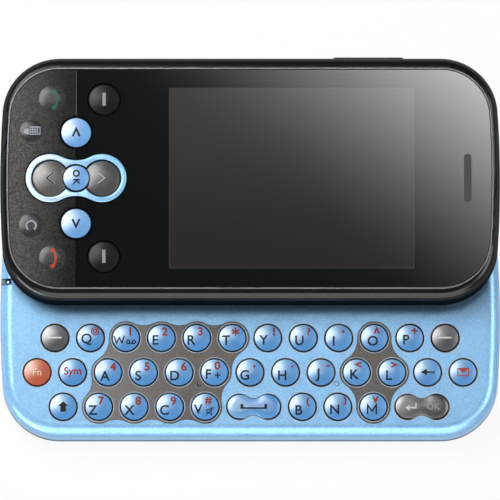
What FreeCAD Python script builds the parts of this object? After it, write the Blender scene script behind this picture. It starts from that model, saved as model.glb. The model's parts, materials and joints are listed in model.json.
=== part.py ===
import FreeCAD, Part
import math
import os

import Sketcher

# Slider phone: a lower half with a three-row keyboard and an upper half with a display, which slides
# along the phone's width to uncover the keys. The origin is the centre of the lower half's back face.
# +X runs along the length, +Y the way the upper half opens, +Z from the back to the display.
# The phone stands open, so every piece of the upper half lies slide_travel away along +Y.

doc = FreeCAD.newDocument("SliderPhone")
sheet = doc.addObject("Spreadsheet::Sheet", "Sizes")

# Every driving dimension, in millimetres.
SIZES = {
    # Outline of both halves
    "body_length": 101.5,               # length over the bowed ends
    "body_width": 50.2,                 # width over the straight sides
    "corner_radius": 11.7,              # radius of the outline's corners
    "end_bow_radius": 210,              # radius of the bowed ends
    "wall": 1.4,                        # side wall of a housing
    "slide_travel": 26.6,               # how far the upper half slides
    "slab_gap": 0.85,                   # air between the two halves

    # Lower housing
    "lower_height": 6.0,                # height of the lower housing
    "lower_edge_fillet": 2.2,           # rounding of the back edge
    "skirt_drop": 3.6,                  # skirt of the keyboard cover, down over the housing's wall
    "skirt_thickness": 0.6,             # the same skirt
    "skirt_air": 0.05,                  # air between the skirt and the wall behind it
    "board_seat_depth": 0.4,            # step that the main board lies in
    "board_clearance": 0.3,             # air round the edge of a board
    "board_thickness": 0.8,             # main board
    "seat_floor": 0.5,                  # floor between the battery and the board
    "back_floor": 1.4,                  # floor under the speaker side

    # Battery and its cover
    "battery_cover_thickness": 0.95,    # sliding back cover
    "cover_past_battery": 5.0,          # cover beyond the battery's right end
    "cover_gap": 0.05,                  # air between the cover and the housing
    "cover_tab_width": 5.0,             # each tongue of the cover
    "cover_tab_reach": 1.6,             # how far a tongue reaches under the fixed back
    "cover_tab_thickness": 0.5,         # thickness of a tongue
    "cover_tab_y": 14.0,                # tongues from the middle line
    "cover_tab_air": 0.1,               # air round a tongue in its slot
    "battery_length": 52.0,             # battery
    "battery_width": 34.0,              # battery
    "battery_end_margin": 11.75,        # battery from the left end
    "battery_clearance": 0.3,           # air round the battery

    # Camera, sound, sockets and screws
    "camera_end_margin": 12.75,         # middle of the camera from the right end
    "camera_y": 11.0,                   # middle of the camera
    "camera_side": 8.0,                 # camera module
    "camera_height": 3.9,               # camera module
    "lens_radius": 2.9,                 # lens barrel
    "lens_depth": 1.3,                  # back face to the camera module
    "lens_inset": 0.15,                 # lens below the back face
    "camera_clearance": 0.15,           # air round the camera
    "speaker_slot_length": 8.0,         # slots over the loudspeaker
    "speaker_slot_width": 0.7,          # slots over the loudspeaker
    "speaker_slot_pitch": 1.7,          # slots over the loudspeaker
    "speaker_end_margin": 15.75,        # middle of the loudspeaker from the right end
    "speaker_y": -8.0,                  # middle of the loudspeaker
    "speaker_length": 14.0,             # loudspeaker chamber
    "speaker_width": 10.0,              # loudspeaker chamber
    "speaker_air": 1.0,                 # air round the loudspeaker in its chamber
    "socket_width": 8.4,                # data socket in the end
    "socket_height": 2.4,               # data socket in the end
    "socket_depth": 4.0,                # data socket in the end
    "socket_z": 3.6,                    # middle of the data socket
    "screw_end_margin": 6.75,           # screws that hold the keyboard cover, from the right end
    "screw_side_margin": 7.6,           # the same screws from the long sides
    "screw_shank_radius": 0.7,          # screw
    "screw_head_radius": 1.3,           # screw
    "screw_head_height": 0.8,           # screw
    "screw_head_inset": 0.6,            # screw head below the back face
    "screw_clearance": 0.1,             # air round the screw
    "boss_radius": 1.7,                 # screw boss under the keyboard cover
    "eyelet_y": 6.7,                    # strap eyelet in the end
    "eyelet_width": 1.4,                # strap eyelet
    "eyelet_depth": 2.3,                # strap eyelet, in from the end
    "eyelet_bar": 1.2,                  # bar that the strap goes round

    # Keyboard cover and keys
    "cover_height": 2.7,                # height of the keyboard cover
    "cover_top_thickness": 1.0,         # plate round the keys
    "cover_edge_fillet": 2.4,           # rounding of the keyboard cover
    "row_end_margin": 7.55,             # last key of the longest row from the end
    "row_pitch": 7.1,                   # row to row
    "bottom_row_side_margin": 5.9,      # bottom row from the near side
    "bottom_row_end_margin": 12.85,     # first key of the bottom row from the left end
    "key_cap_radius": 2.85,             # round key cap
    "key_gap": 0.14,                    # air round a key cap
    "key_rise": 0.55,                   # top of a cap above the plate
    "key_crown": 0.4,                   # crown of a key cap
    "key_flange_air": 0.3,              # air between the flanges of two keys
    "key_lip": 0.35,                    # flange of a wide key beyond its cap
    "key_flange_thickness": 0.3,        # flange that keeps a key in
    "key_float": 0.05,                  # play of the flange under the plate
    "key_travel": 0.3,                  # press of a key
    "key_nub_side": 1.0,                # nub that presses the dome
    "dome_side": 3.2,                   # snap dome on a board
    "dome_height": 0.2,                 # snap dome on a board
    "dome_gap": 0.03,                   # air left under a pressed key
    "wide_lobe_radius": 2.6,            # each lobe of a wide key
    "wide_lobe_offset": 2.9,            # lobe of a wide key from its middle
    "wide_waist": 1.63,                 # half height of a wide key's waist

    # Slide mechanism
    "metal": 0.4,                       # sheet steel of the slide
    "run_clearance": 0.08,              # play above and below the rails
    "side_clearance": 0.3,              # play beside the rails
    "stop_clearance": 0.1,              # rail to its end stop
    "rail_end_margin": 14.25,           # flat base of the fixed plate, from both ends
    "rail_wing": 3.2,                   # width of a rail
    "carriage_side_margin": 2.1,        # sliding plate from the long sides
    "post_radius": 0.8,                 # posts that hold the springs
    "spring_wire": 0.4,                 # square spring wire
    "spring_coil_radius": 3.0,          # outside of a spring's coil
    "spring_coil_step": 8.0,            # coil of a spring beyond its fixed post
    "spring_coil_rise": 5.5,            # coil beyond the fixed post, along the slide
    "fixed_post_step": 8.0,             # fixed post beyond the moving one
    "moving_post_step": 4.0,            # post of the sliding plate beyond the ribbon cable
    "cable_width": 16.0,                # ribbon cable between the halves
    "cable_thickness": 0.25,            # ribbon cable between the halves
    "cable_slot": 1.2,                  # slot that the cable comes through
    "cable_run": 7.0,                   # cable between its two slots when open

    # Upper housing
    "upper_height": 6.85,               # height of the upper housing
    "upper_back_chamfer": 0.6,          # chamfer of its back edge
    "upper_top_fillet": 2.1,            # rounding of its front edge
    "upper_floor": 0.5,                 # floor over the sliding plate
    "carriage_seat": 0.1,               # air round the sliding plate in its recess
    "face_end_margin": 1.3,             # rim of the housing at the ends of the front face
    "face_side_margin": 2.2,            # rim of the housing along the front face
    "face_corner": 10.3,                # corner of the front face
    "face_rim_width": 0.24,             # bright ring round the front face
    "face_rim_gap": 0.05,               # air between the ring and the housing
    "face_ledge": 1.0,                  # ledge that the window is glued to
    "face_drop": 0.1,                   # window below the rim
    "window_gap": 0.18,                 # air round the window
    "window_thickness": 1.0,            # window and side panel

    # Front face
    "seam_end_margin": 15.45,           # seam between the side panel and the window, from the left end
    "front_cap_radius": 3.2,            # round front key
    "front_gap": 0.16,                  # air round a front key
    "front_rise": 0.45,                 # top of a front key above the window
    "front_crown": 0.35,                # crown of a front key
    "front_tab": 0.8,                   # tabs that keep a front key in
    "front_tab_width": 3.0,             # tabs that keep a front key in
    "soft_key_step": 5.65,              # soft keys right of the seam
    "soft_key_side_margin": 8.85,       # soft keys from the long sides
    "scroll_key_y": 9.4,                # up and down keys, above and below the middle
    "ring_lobe_offset": 5.25,           # lobe of the ring from its middle
    "ring_lobe_radius": 5.0,            # outside of a lobe of the ring
    "ring_waist": 3.7,                  # half height of the ring's waist
    "ring_band": 1.15,                  # width of the ring's band
    "ring_rise": 0.25,                  # ring above the window
    "ok_cap_radius": 2.75,              # middle key
    "bump_radius": 2.65,                # raised keys of the side panel
    "bump_rise": 0.2,                   # raised keys of the side panel
    "call_bump_step": 4.8,              # call and end keys left of the seam
    "call_bump_side_margin": 8.65,      # call and end keys from the long sides
    "menu_bump_step": 9.1,              # the two keys at the end, left of the seam
    "menu_bump_y": 9.75,                # the same two keys, above and below the middle
    "earpiece_end_margin": 6.6,         # earpiece slot from the right end
    "earpiece_length": 10.0,            # earpiece slot
    "earpiece_width": 1.5,              # earpiece slot
    "earpiece_capsule": 4.5,            # width of the capsule under the slot
    "screen_left_margin": 34.3,         # lit area of the display from the left end
    "screen_right_margin": 17.4,        # lit area from the right end
    "screen_side_margin": 6.425,        # lit area from the long sides
    "screen_border": 2.0,               # dark edge of the display module
    "screen_air": 0.3,                  # air between the display and the window
    "upper_board_thickness": 0.6,       # board of the upper half

    # Volume rocker in the side wall
    "rocker_end_margin": 26.75,         # middle of the rocker from the right end
    "rocker_length": 14.0,              # rocker, along the wall
    "rocker_pin_radius": 0.5,           # upright pin that the rocker tips about
    "rocker_pin_lip": 0.5,              # pin beyond the slot, above and below
    "rocker_height": 1.8,               # rocker, across the wall
    "rocker_rise": 0.25,                # rocker beyond the wall
    "rocker_gap": 0.15,                 # air round the rocker
}


def fill_sheet():
    """Writes the driving dimensions to the spreadsheet, each cell with its alias."""
    for row, (alias, size) in enumerate(SIZES.items(), 1):
        sheet.set(f"A{row}", alias)
        sheet.set(f"B{row}", str(size))
        sheet.setAlias(f"B{row}", alias)
    doc.recompute()


fill_sheet()

# Levels along Z and other sizes that follow from the sheet. Each is an expression on its cells.
S = "Sizes."
SKIRT_BOTTOM = f"({S}lower_height - {S}skirt_drop)"
COVER_TOP = f"({S}lower_height + {S}cover_height)"
PLATE_UNDER = f"({COVER_TOP} - {S}cover_top_thickness)"
FLANGE_TOP = f"({PLATE_UNDER} - {S}key_float)"
FLANGE_BOTTOM = f"({FLANGE_TOP} - {S}key_flange_thickness)"
BOARD_BOTTOM = f"({S}lower_height - {S}board_seat_depth)"
BOARD_TOP = f"({BOARD_BOTTOM} + {S}board_thickness)"
DOME_TOP = f"({BOARD_TOP} + {S}dome_height)"
NUB_BOTTOM = f"({DOME_TOP} + {S}key_travel + {S}dome_gap)"
KEY_TOP = f"({COVER_TOP} + {S}key_rise)"

WELL_BOTTOM = f"({S}battery_cover_thickness + {S}cover_gap)"
WELL_TOP = f"({BOARD_BOTTOM} - {S}seat_floor)"

UPPER_BOTTOM = f"({COVER_TOP} + {S}slab_gap)"
UPPER_TOP = f"({UPPER_BOTTOM} + {S}upper_height)"
LIP_TOP = f"({UPPER_BOTTOM} + {S}metal)"
WING_BOTTOM = f"({LIP_TOP} + {S}run_clearance)"
WING_TOP = f"({WING_BOTTOM} + {S}metal)"
WEB_BOTTOM = f"({WING_TOP} + {S}run_clearance)"
WEB_TOP = f"({WEB_BOTTOM} + {S}metal)"
UPPER_BOARD_BOTTOM = f"({WEB_TOP} + {S}upper_floor)"
UPPER_BOARD_TOP = f"({UPPER_BOARD_BOTTOM} + {S}upper_board_thickness)"
WINDOW_TOP = f"({UPPER_TOP} - {S}face_drop)"
WINDOW_BOTTOM = f"({WINDOW_TOP} - {S}window_thickness)"
SCREEN_TOP = f"({WINDOW_BOTTOM} - {S}screen_air)"
FRONT_KEY_TOP = f"({WINDOW_TOP} + {S}front_rise)"
FRONT_TAB_TOP = f"({WINDOW_BOTTOM} - {S}key_float)"
FRONT_TAB_BOTTOM = f"({FRONT_TAB_TOP} - {S}key_flange_thickness)"
FRONT_NUB_BOTTOM = f"({UPPER_BOARD_TOP} + {S}dome_height + {S}key_travel + {S}dome_gap)"

# Places along X and Y, from the ends and sides of the outline.
END_X = f"({S}body_length / 2)"
SIDE_Y = f"({S}body_width / 2)"
BATTERY_X = f"({S}battery_end_margin + {S}battery_length / 2 - {END_X})"
COVER_END_X = f"({BATTERY_X} + {S}battery_length / 2 + {S}cover_past_battery)"
CAMERA_X = f"({END_X} - {S}camera_end_margin)"
SPEAKER_X = f"({END_X} - {S}speaker_end_margin)"
SCREW_X = f"({END_X} - {S}screw_end_margin)"
SCREW_Y = f"({SIDE_Y} - {S}screw_side_margin)"
BOTTOM_ROW_Y = f"({S}bottom_row_side_margin - {SIDE_Y})"
MIDDLE_ROW_Y = f"({BOTTOM_ROW_Y} + {S}row_pitch)"
TOP_ROW_Y = f"({MIDDLE_ROW_Y} + {S}row_pitch)"

RAIL_BASE_HALF = f"({END_X} - {S}rail_end_margin)"
RAIL_END = f"({RAIL_BASE_HALF} + {S}rail_wing)"
CHANNEL = f"({RAIL_END} + {S}side_clearance)"
CARRIAGE_HALF = f"({CHANNEL} + {S}metal)"
CLEAR = f"({S}body_length)"  # reaches past the phone from its middle line
PAST = f"{S}wall"  # a cut that opens a face starts this far outside it
BELOW = f"(-{PAST})"


def value(expression):
    """The number that an expression on the sheet comes to."""
    return float(sheet.evalExpression(expression))


# ---------------------------------------------------------------- sketches and features


SUBPARTS = []  # every separate piece of the phone
SAME_LEVEL = 1e-4  # two heights closer than this are one level


def new_body(node):
    """An empty body for one piece, whose Label names its file."""
    body = doc.addObject("PartDesign::Body", node)
    body.Label = node
    SUBPARTS.append(body)
    return body


def origin_feature(body, role):
    """One of the body's own origin planes or axes."""
    return next(f for f in body.Origin.OriginFeatures if f.Role == role)


def new_sketch(body, name, x="0", y="0", z="0", role="XY_Plane"):
    """A sketch on one of the body's planes, moved to x, y, z in the plane's own directions."""
    sketch = body.newObject("Sketcher::SketchObject", name)
    sketch.AttachmentSupport = [(origin_feature(body, role), "")]
    sketch.MapMode = "FlatFace"
    for axis, place in (("x", x), ("y", y), ("z", z)):
        if place != "0":
            sketch.setExpression(f"AttachmentOffset.Base.{axis}", place)
    return sketch


def bind(sketch, name, kind, *where, size):
    """Adds a dimension to a sketch and binds it to an expression on the sheet."""
    index = sketch.addConstraint(Sketcher.Constraint(kind, *where, value(size)))
    sketch.renameConstraint(index, name)
    sketch.setExpression(f"Constraints.{name}", size)


def circle(sketch, radius):
    """A circle round the sketch's origin."""
    edge = sketch.addGeometry(Part.Circle(FreeCAD.Vector(), FreeCAD.Vector(0, 0, 1), value(radius)))
    sketch.addConstraint(Sketcher.Constraint("Coincident", edge, 3, -1, 1))
    bind(sketch, f"radius_{edge}", "Radius", edge, size=radius)


def rectangle(sketch, width, depth):
    """A rectangle centred on the sketch's origin."""
    half_x = value(width) / 2
    half_y = value(depth) / 2
    corners = [(-half_x, -half_y), (half_x, -half_y), (half_x, half_y), (-half_x, half_y)]
    first = polygon(sketch, corners)
    for edge, direction in ((0, "Horizontal"), (1, "Vertical"), (2, "Horizontal"), (3, "Vertical")):
        sketch.addConstraint(Sketcher.Constraint(direction, first + edge))
    sketch.addConstraint(Sketcher.Constraint("Symmetric", first, 1, first + 2, 1, -1, 1))
    bind(sketch, f"width_{first}", "DistanceX", first, 1, first, 2, size=width)
    bind(sketch, f"depth_{first}", "DistanceY", first + 1, 1, first + 1, 2, size=depth)


def polygon(sketch, corners):
    """Closed straight edges through the corners. Returns the number of the first edge."""
    points = [FreeCAD.Vector(x, y, 0) for x, y in corners]
    edges = [Part.LineSegment(a, b) for a, b in zip(points, points[1:] + points[:1])]
    numbers = sketch.addGeometry(edges)
    for edge, following in zip(numbers, numbers[1:] + numbers[:1]):
        sketch.addConstraint(Sketcher.Constraint("Coincident", edge, 2, following, 1))
    return numbers[0]


def section(sketch, corners):
    """A closed section whose corners, from the sketch's origin, are expressions."""
    first = polygon(sketch, [(value(x), value(y)) for x, y in corners])
    for number, (x, y) in enumerate(corners):
        bind(sketch, f"x_{number}", "DistanceX", -1, 1, first + number, 1, size=x)
        bind(sketch, f"y_{number}", "DistanceY", -1, 1, first + number, 1, size=y)


def arc(centre, radius, start, end):
    """An arc that turns anticlockwise from one angle to the other."""
    ring = Part.Circle(FreeCAD.Vector(*centre, 0), FreeCAD.Vector(0, 0, 1), radius)
    return Part.ArcOfCircle(ring, start, end)


def slab_outline(sketch, length, width, corner, bow):
    """Two straight long sides, two bowed ends and four round corners, all tangent."""
    half_length, half_width = value(length) / 2, value(width) / 2
    corner_r, bow_r = value(corner), value(bow)
    bow_x = half_length - bow_r
    corner_y = half_width - corner_r
    corner_x = bow_x + math.sqrt((bow_r - corner_r) ** 2 - corner_y ** 2)
    lean = math.atan2(corner_y, corner_x - bow_x)
    quarter = math.pi / 2
    shapes = [
        arc((bow_x, 0), bow_r, -lean, lean),
        arc((corner_x, corner_y), corner_r, lean, quarter),
        Part.LineSegment(FreeCAD.Vector(corner_x, half_width, 0), FreeCAD.Vector(-corner_x, half_width, 0)),
        arc((-corner_x, corner_y), corner_r, quarter, math.pi - lean),
        arc((-bow_x, 0), bow_r, math.pi - lean, math.pi + lean),
        arc((-corner_x, -corner_y), corner_r, math.pi + lean, 3 * quarter),
        Part.LineSegment(FreeCAD.Vector(-corner_x, -half_width, 0), FreeCAD.Vector(corner_x, -half_width, 0)),
        arc((corner_x, -corner_y), corner_r, -quarter, -lean),
    ]
    right, top_right, top, top_left, left, bottom_left, bottom, bottom_right = sketch.addGeometry(shapes)
    chain = [right, top_right, top, top_left, left, bottom_left, bottom, bottom_right]
    for edge, following in zip(chain, chain[1:] + chain[:1]):
        sketch.addConstraint(Sketcher.Constraint("Tangent", edge, 2, following, 1))
    for edge in (top_left, bottom_left, bottom_right):
        sketch.addConstraint(Sketcher.Constraint("Equal", top_right, edge))
    for end in (right, left):
        sketch.addConstraint(Sketcher.Constraint("PointOnObject", end, 3, -1))
    sketch.addConstraint(Sketcher.Constraint("Horizontal", top))
    sketch.addConstraint(Sketcher.Constraint("Horizontal", bottom))
    bind(sketch, "corner", "Radius", top_right, size=corner)
    bind(sketch, "right_bow", "Radius", right, size=bow)
    bind(sketch, "left_bow", "Radius", left, size=bow)
    bind(sketch, "right_centre", "DistanceX", -1, 1, right, 3, size=f"{length} / 2 - {bow}")
    bind(sketch, "left_centre", "DistanceX", -1, 1, left, 3, size=f"{bow} - {length} / 2")
    bind(sketch, "top_side", "DistanceY", -1, 1, top, 1, size=f"{width} / 2")
    bind(sketch, "bottom_side", "DistanceY", -1, 1, bottom, 1, size=f"-{width} / 2")


def peanut_outline(sketch, lobe, offset, waist):
    """Two round lobes beside each other, with a waist that runs tangent into both."""
    hollow = f"({offset} ^ 2 + {waist} ^ 2 - {lobe} ^ 2) / (2 * ({lobe} - {waist}))"
    lobe_r, lobe_x, waist_y, hollow_r = value(lobe), value(offset), value(waist), value(hollow)
    meet = math.atan2(waist_y + hollow_r, lobe_x)  # slope of the line from a lobe to a hollow
    shapes = [
        arc((lobe_x, 0), lobe_r, meet - math.pi, math.pi - meet),
        arc((0, waist_y + hollow_r), hollow_r, math.pi + meet, 2 * math.pi - meet),
        arc((-lobe_x, 0), lobe_r, meet, 2 * math.pi - meet),
        arc((0, -waist_y - hollow_r), hollow_r, meet, math.pi - meet),
    ]
    right, top, left, bottom = sketch.addGeometry(shapes)
    for edge, side, following, start in ((right, 2, top, 2), (top, 1, left, 1),
                                         (left, 2, bottom, 2), (bottom, 1, right, 1)):
        sketch.addConstraint(Sketcher.Constraint("Tangent", edge, side, following, start))
    for centre in (right, left):
        sketch.addConstraint(Sketcher.Constraint("PointOnObject", centre, 3, -1))
    sketch.addConstraint(Sketcher.Constraint("Equal", right, left))
    sketch.addConstraint(Sketcher.Constraint("Equal", top, bottom))
    bind(sketch, "lobe", "Radius", right, size=lobe)
    bind(sketch, "hollow", "Radius", top, size=hollow)
    bind(sketch, "right_lobe", "DistanceX", -1, 1, right, 3, size=offset)
    bind(sketch, "left_lobe", "DistanceX", -1, 1, left, 3, size=f"-{offset}")


def slot_outline(sketch, length, width):
    """A slot with round ends, centred on the sketch's origin and long along Y."""
    end_r = value(width) / 2
    end_y = value(length) / 2 - end_r
    shapes = [
        arc((0, end_y), end_r, 0, math.pi),
        Part.LineSegment(FreeCAD.Vector(-end_r, end_y, 0), FreeCAD.Vector(-end_r, -end_y, 0)),
        arc((0, -end_y), end_r, math.pi, 2 * math.pi),
        Part.LineSegment(FreeCAD.Vector(end_r, -end_y, 0), FreeCAD.Vector(end_r, end_y, 0)),
    ]
    top, left, bottom, right = sketch.addGeometry(shapes)
    chain = [top, left, bottom, right]
    for edge, following in zip(chain, chain[1:] + chain[:1]):
        sketch.addConstraint(Sketcher.Constraint("Tangent", edge, 2, following, 1))
    sketch.addConstraint(Sketcher.Constraint("Symmetric", top, 3, bottom, 3, -1, 1))
    sketch.addConstraint(Sketcher.Constraint("PointOnObject", top, 3, -2))
    bind(sketch, "end", "Radius", top, size=f"{width} / 2")
    bind(sketch, "end_y", "DistanceY", -1, 1, top, 3, size=f"({length} - {width}) / 2")


def pad(body, sketch, length, name):
    """Material from the sketch, the way its plane faces."""
    feature = body.newObject("PartDesign::Pad", name)
    feature.Profile = sketch
    feature.setExpression("Length", length)
    return feature


def pocket(body, sketch, depth, name):
    """A cut from the sketch, against the way its plane faces."""
    feature = body.newObject("PartDesign::Pocket", name)
    feature.Profile = sketch
    feature.setExpression("Length", depth)
    return feature


def edges_at(shape, level):
    """The names of the edges that lie at a level along Z."""
    height = value(level)
    return [
        f"Edge{number}"
        for number, edge in enumerate(shape.Edges, 1)
        if all(abs(vertex.Z - height) < SAME_LEVEL for vertex in edge.Vertexes)
    ]


def fillet_level(body, base, level, radius, name):
    """Rounds every edge of the base feature that lies at a level along Z."""
    doc.recompute()
    feature = body.newObject("PartDesign::Fillet", name)
    feature.Base = (base, edges_at(base.Shape, level))
    feature.setExpression("Radius", radius)
    return feature


def chamfer_level(body, base, level, size, name):
    """Bevels every edge of the base feature that lies at a level along Z."""
    doc.recompute()
    feature = body.newObject("PartDesign::Chamfer", name)
    feature.Base = (base, edges_at(base.Shape, level))
    feature.setExpression("Size", size)
    return feature


def block(body, name, x, y, z, cut=False):
    """A straight block between two places along each axis. It adds material, or cuts it."""
    middle_x, middle_y = (f"({low} + {high}) / 2" for low, high in (x, y))
    sketch = new_sketch(body, f"{name}_outline", middle_x, middle_y, z[1] if cut else z[0])
    rectangle(sketch, f"{x[1]} - {x[0]}", f"{y[1]} - {y[0]}")
    make = pocket if cut else pad
    return make(body, sketch, f"{z[1]} - {z[0]}", name)


def centred(middle, size):
    """The two ends of a stretch of some size about its middle."""
    return f"({middle} - ({size}) / 2)", f"({middle} + ({size}) / 2)"


def disc(body, name, x, y, z, radius, cut=False):
    """An upright round at x, y between two levels. It adds material, or cuts it."""
    sketch = new_sketch(body, f"{name}_outline", x, y, z[1] if cut else z[0])
    circle(sketch, radius)
    make = pocket if cut else pad
    return make(body, sketch, f"{z[1]} - {z[0]}", name)


def repeat_along_x(body, feature, count, name):
    """Repeats a feature at the key pitch."""
    pattern = body.newObject("PartDesign::LinearPattern", name)
    pattern.Originals = [feature]
    pattern.Direction = (origin_feature(body, "X_Axis"), [""])
    pattern.setExpression("Length", f"{count - 1} * {KEY_PITCH}")
    pattern.Occurrences = count
    body.Tip = pattern
    return pattern


def inset_slab(sketch, inset):
    """The housings' outline, drawn in by a distance."""
    slab_outline(sketch, f"({S}body_length - 2 * {inset})", f"({S}body_width - 2 * {inset})",
                 f"({S}corner_radius - {inset})", f"({S}end_bow_radius - {inset})")


def inset_face(sketch, inset):
    """The front face's outline, drawn in by a distance."""
    slab_outline(sketch, f"({S}body_length - 2 * ({S}face_end_margin + {inset}))",
                 f"({S}body_width - 2 * ({S}face_side_margin + {inset}))", f"({S}face_corner - {inset})",
                 f"({S}end_bow_radius - {S}face_end_margin - {inset})")


def open_half(body):
    """Carries a piece of the upper half to its open place."""
    body.setExpression("Placement.Base.y", f"{S}slide_travel")


# ---------------------------------------------------------------- keyboard layout

TOP_ROW_KEYS = ["key_soft_left", "key_q", "key_w", "key_e", "key_r", "key_t",
                "key_y", "key_u", "key_i", "key_o", "key_p", "key_soft_right"]
MIDDLE_ROW_KEYS = ["key_fn", "key_sym", "key_a", "key_s", "key_d", "key_f", "key_g",
                   "key_h", "key_j", "key_k", "key_l", "key_backspace", "key_message"]
BOTTOM_ROW_KEYS = ["key_shift", "key_z", "key_x", "key_c", "key_v"]
BOTTOM_ROW_RIGHT_KEYS = ["key_b", "key_n", "key_m"]


KEY_PITCH = f"(2 * ({END_X} - {S}row_end_margin) / {len(MIDDLE_ROW_KEYS) - 1})"
WIDE_HALF = f"({S}wide_lobe_offset + {S}wide_lobe_radius)"
WIDE_STEP = f"({KEY_PITCH} + {WIDE_HALF} - {S}key_cap_radius)"  # from a round key to a wide one


def centred_row(keys):
    """Where the first key of a row lies, if the row is centred on the keyboard."""
    return f"(-{(len(keys) - 1) / 2} * {KEY_PITCH})"


def row_end(first_x, keys):
    """Where the last key of a row lies."""
    return f"({first_x} + {len(keys) - 1} * {KEY_PITCH})"


# The bottom row runs on from the left end, with the space key and the enter key among its round keys.
BOTTOM_ROW_X = f"({S}bottom_row_end_margin - {END_X})"
SPACE_KEY_X = f"({row_end(BOTTOM_ROW_X, BOTTOM_ROW_KEYS)} + {WIDE_STEP})"
BOTTOM_ROW_RIGHT_X = f"({SPACE_KEY_X} + {WIDE_STEP})"
ENTER_KEY_X = f"({row_end(BOTTOM_ROW_RIGHT_X, BOTTOM_ROW_RIGHT_KEYS)} + {WIDE_STEP})"

# Each run of round keys: a name, where its first key lies, its row, and its keys from left to right.
RUNS = [
    ("top_row", centred_row(TOP_ROW_KEYS), TOP_ROW_Y, TOP_ROW_KEYS),
    ("middle_row", centred_row(MIDDLE_ROW_KEYS), MIDDLE_ROW_Y, MIDDLE_ROW_KEYS),
    ("bottom_row", BOTTOM_ROW_X, BOTTOM_ROW_Y, BOTTOM_ROW_KEYS),
    ("bottom_row_right", BOTTOM_ROW_RIGHT_X, BOTTOM_ROW_Y, BOTTOM_ROW_RIGHT_KEYS),
]
WIDE_KEYS = [("key_space", SPACE_KEY_X), ("key_enter", ENTER_KEY_X)]


def crown_cut(body, name, top, radius, crown):
    """Cuts the top of a cap to a crown that is curved from left to right."""
    bend = f"({radius} ^ 2 + {crown} ^ 2) / (2 * {crown})"
    reach = f"({radius} + {PAST})"  # the cut runs past the cap on both sides
    sketch = new_sketch(body, f"{name}_outline", "0", top, "0", role="XZ_Plane")
    bend_r, reach_x, over = value(bend), value(reach), value(crown)
    lean = math.asin(reach_x / bend_r)
    dip = bend_r * (math.cos(lean) - 1)
    crown_arc = arc((0, -bend_r), bend_r, math.pi / 2 - lean, math.pi / 2 + lean)
    corners = [(-reach_x, dip), (-reach_x, over), (reach_x, over), (reach_x, dip)]
    points = [FreeCAD.Vector(x, y, 0) for x, y in corners]
    lines = [Part.LineSegment(a, b) for a, b in zip(points, points[1:])]
    bow, left, top_line, right = sketch.addGeometry([crown_arc] + lines)
    for edge, following in ((bow, left), (left, top_line), (top_line, right), (right, bow)):
        sketch.addConstraint(Sketcher.Constraint("Coincident", edge, 2, following, 1))
    sketch.addConstraint(Sketcher.Constraint("PointOnObject", bow, 3, -2))
    for upright in (left, right):
        sketch.addConstraint(Sketcher.Constraint("Vertical", upright))
    sketch.addConstraint(Sketcher.Constraint("Horizontal", top_line))
    bind(sketch, "bend", "Radius", bow, size=bend)
    bind(sketch, "bend_centre", "DistanceY", -1, 1, bow, 3, size=f"-{bend}")
    bind(sketch, "left_reach", "DistanceX", -1, 1, top_line, 1, size=f"-{reach}")
    bind(sketch, "right_reach", "DistanceX", -1, 1, top_line, 2, size=reach)
    bind(sketch, "over", "DistanceY", -1, 1, top_line, 1, size=crown)
    cut = pocket(body, sketch, f"2 * {reach}", name)
    cut.SideType = "Symmetric"
    return cut


def keyboard_key(node, x, y, half, draw_cap, flange_x, flange_y):
    """A key: the flange under the plate, the nub over its dome, and the cap through the plate."""
    body = new_body(node)
    block(body, "flange", centred("0", flange_x), centred("0", flange_y), (FLANGE_BOTTOM, FLANGE_TOP))
    block(body, "nub", centred("0", f"{S}key_nub_side"), centred("0", f"{S}key_nub_side"),
          (NUB_BOTTOM, FLANGE_BOTTOM))
    outline = new_sketch(body, "cap_outline", z=FLANGE_TOP)
    draw_cap(outline)
    pad(body, outline, f"{KEY_TOP} - {FLANGE_TOP}", "cap")
    crown_cut(body, "crown", KEY_TOP, half, f"{S}key_crown")
    body.setExpression("Placement.Base.x", x)
    body.setExpression("Placement.Base.y", y)


def keyboard_keys():
    """Every key of the keyboard, each in a body of its own."""
    flange_x = f"({KEY_PITCH} - {S}key_flange_air)"
    flange_y = f"({S}row_pitch - {S}key_flange_air)"
    for _, first_x, y, names in RUNS:
        for place, node in enumerate(names):
            keyboard_key(node, f"{first_x} + {place} * {KEY_PITCH}", y, f"{S}key_cap_radius",
                         lambda sketch: circle(sketch, f"{S}key_cap_radius"), flange_x, flange_y)
    for node, x in WIDE_KEYS:
        keyboard_key(node, x, BOTTOM_ROW_Y, WIDE_HALF,
                     lambda sketch: peanut_outline(sketch, f"{S}wide_lobe_radius", f"{S}wide_lobe_offset",
                                                   f"{S}wide_waist"),
                     f"2 * ({WIDE_HALF} + {S}key_lip)", f"2 * ({S}wide_lobe_radius + {S}key_lip)")


# ---------------------------------------------------------------- lower half

SCREW_SIDES = (("upper", SCREW_Y), ("lower", f"-{SCREW_Y}"))
TONGUE_SIDES = (("upper", f"{S}cover_tab_y"), ("lower", f"-{S}cover_tab_y"))
TONGUE_BOTTOM = f"({S}battery_cover_thickness - {S}cover_tab_thickness)"


def strap_hole(body, through_bar, z):
    """The strap's way in from the end. It is open to the end, or only behind the bar."""
    outer = f"(-{END_X} + {S}eyelet_bar)" if through_bar else f"(-{END_X} - {PAST})"
    block(body, "strap_hole", (outer, f"(-{END_X} + {S}eyelet_depth)"),
          centred(f"{S}eyelet_y", f"{S}eyelet_width"), z, cut=True)


def socket_opening(body):
    """The way in to the data socket, from the right end."""
    block(body, "socket", (f"({END_X} - {S}socket_depth)", f"({END_X} + {PAST})"),
          centred("0", f"{S}socket_width"), centred(f"{S}socket_z", f"{S}socket_height"), cut=True)


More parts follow.
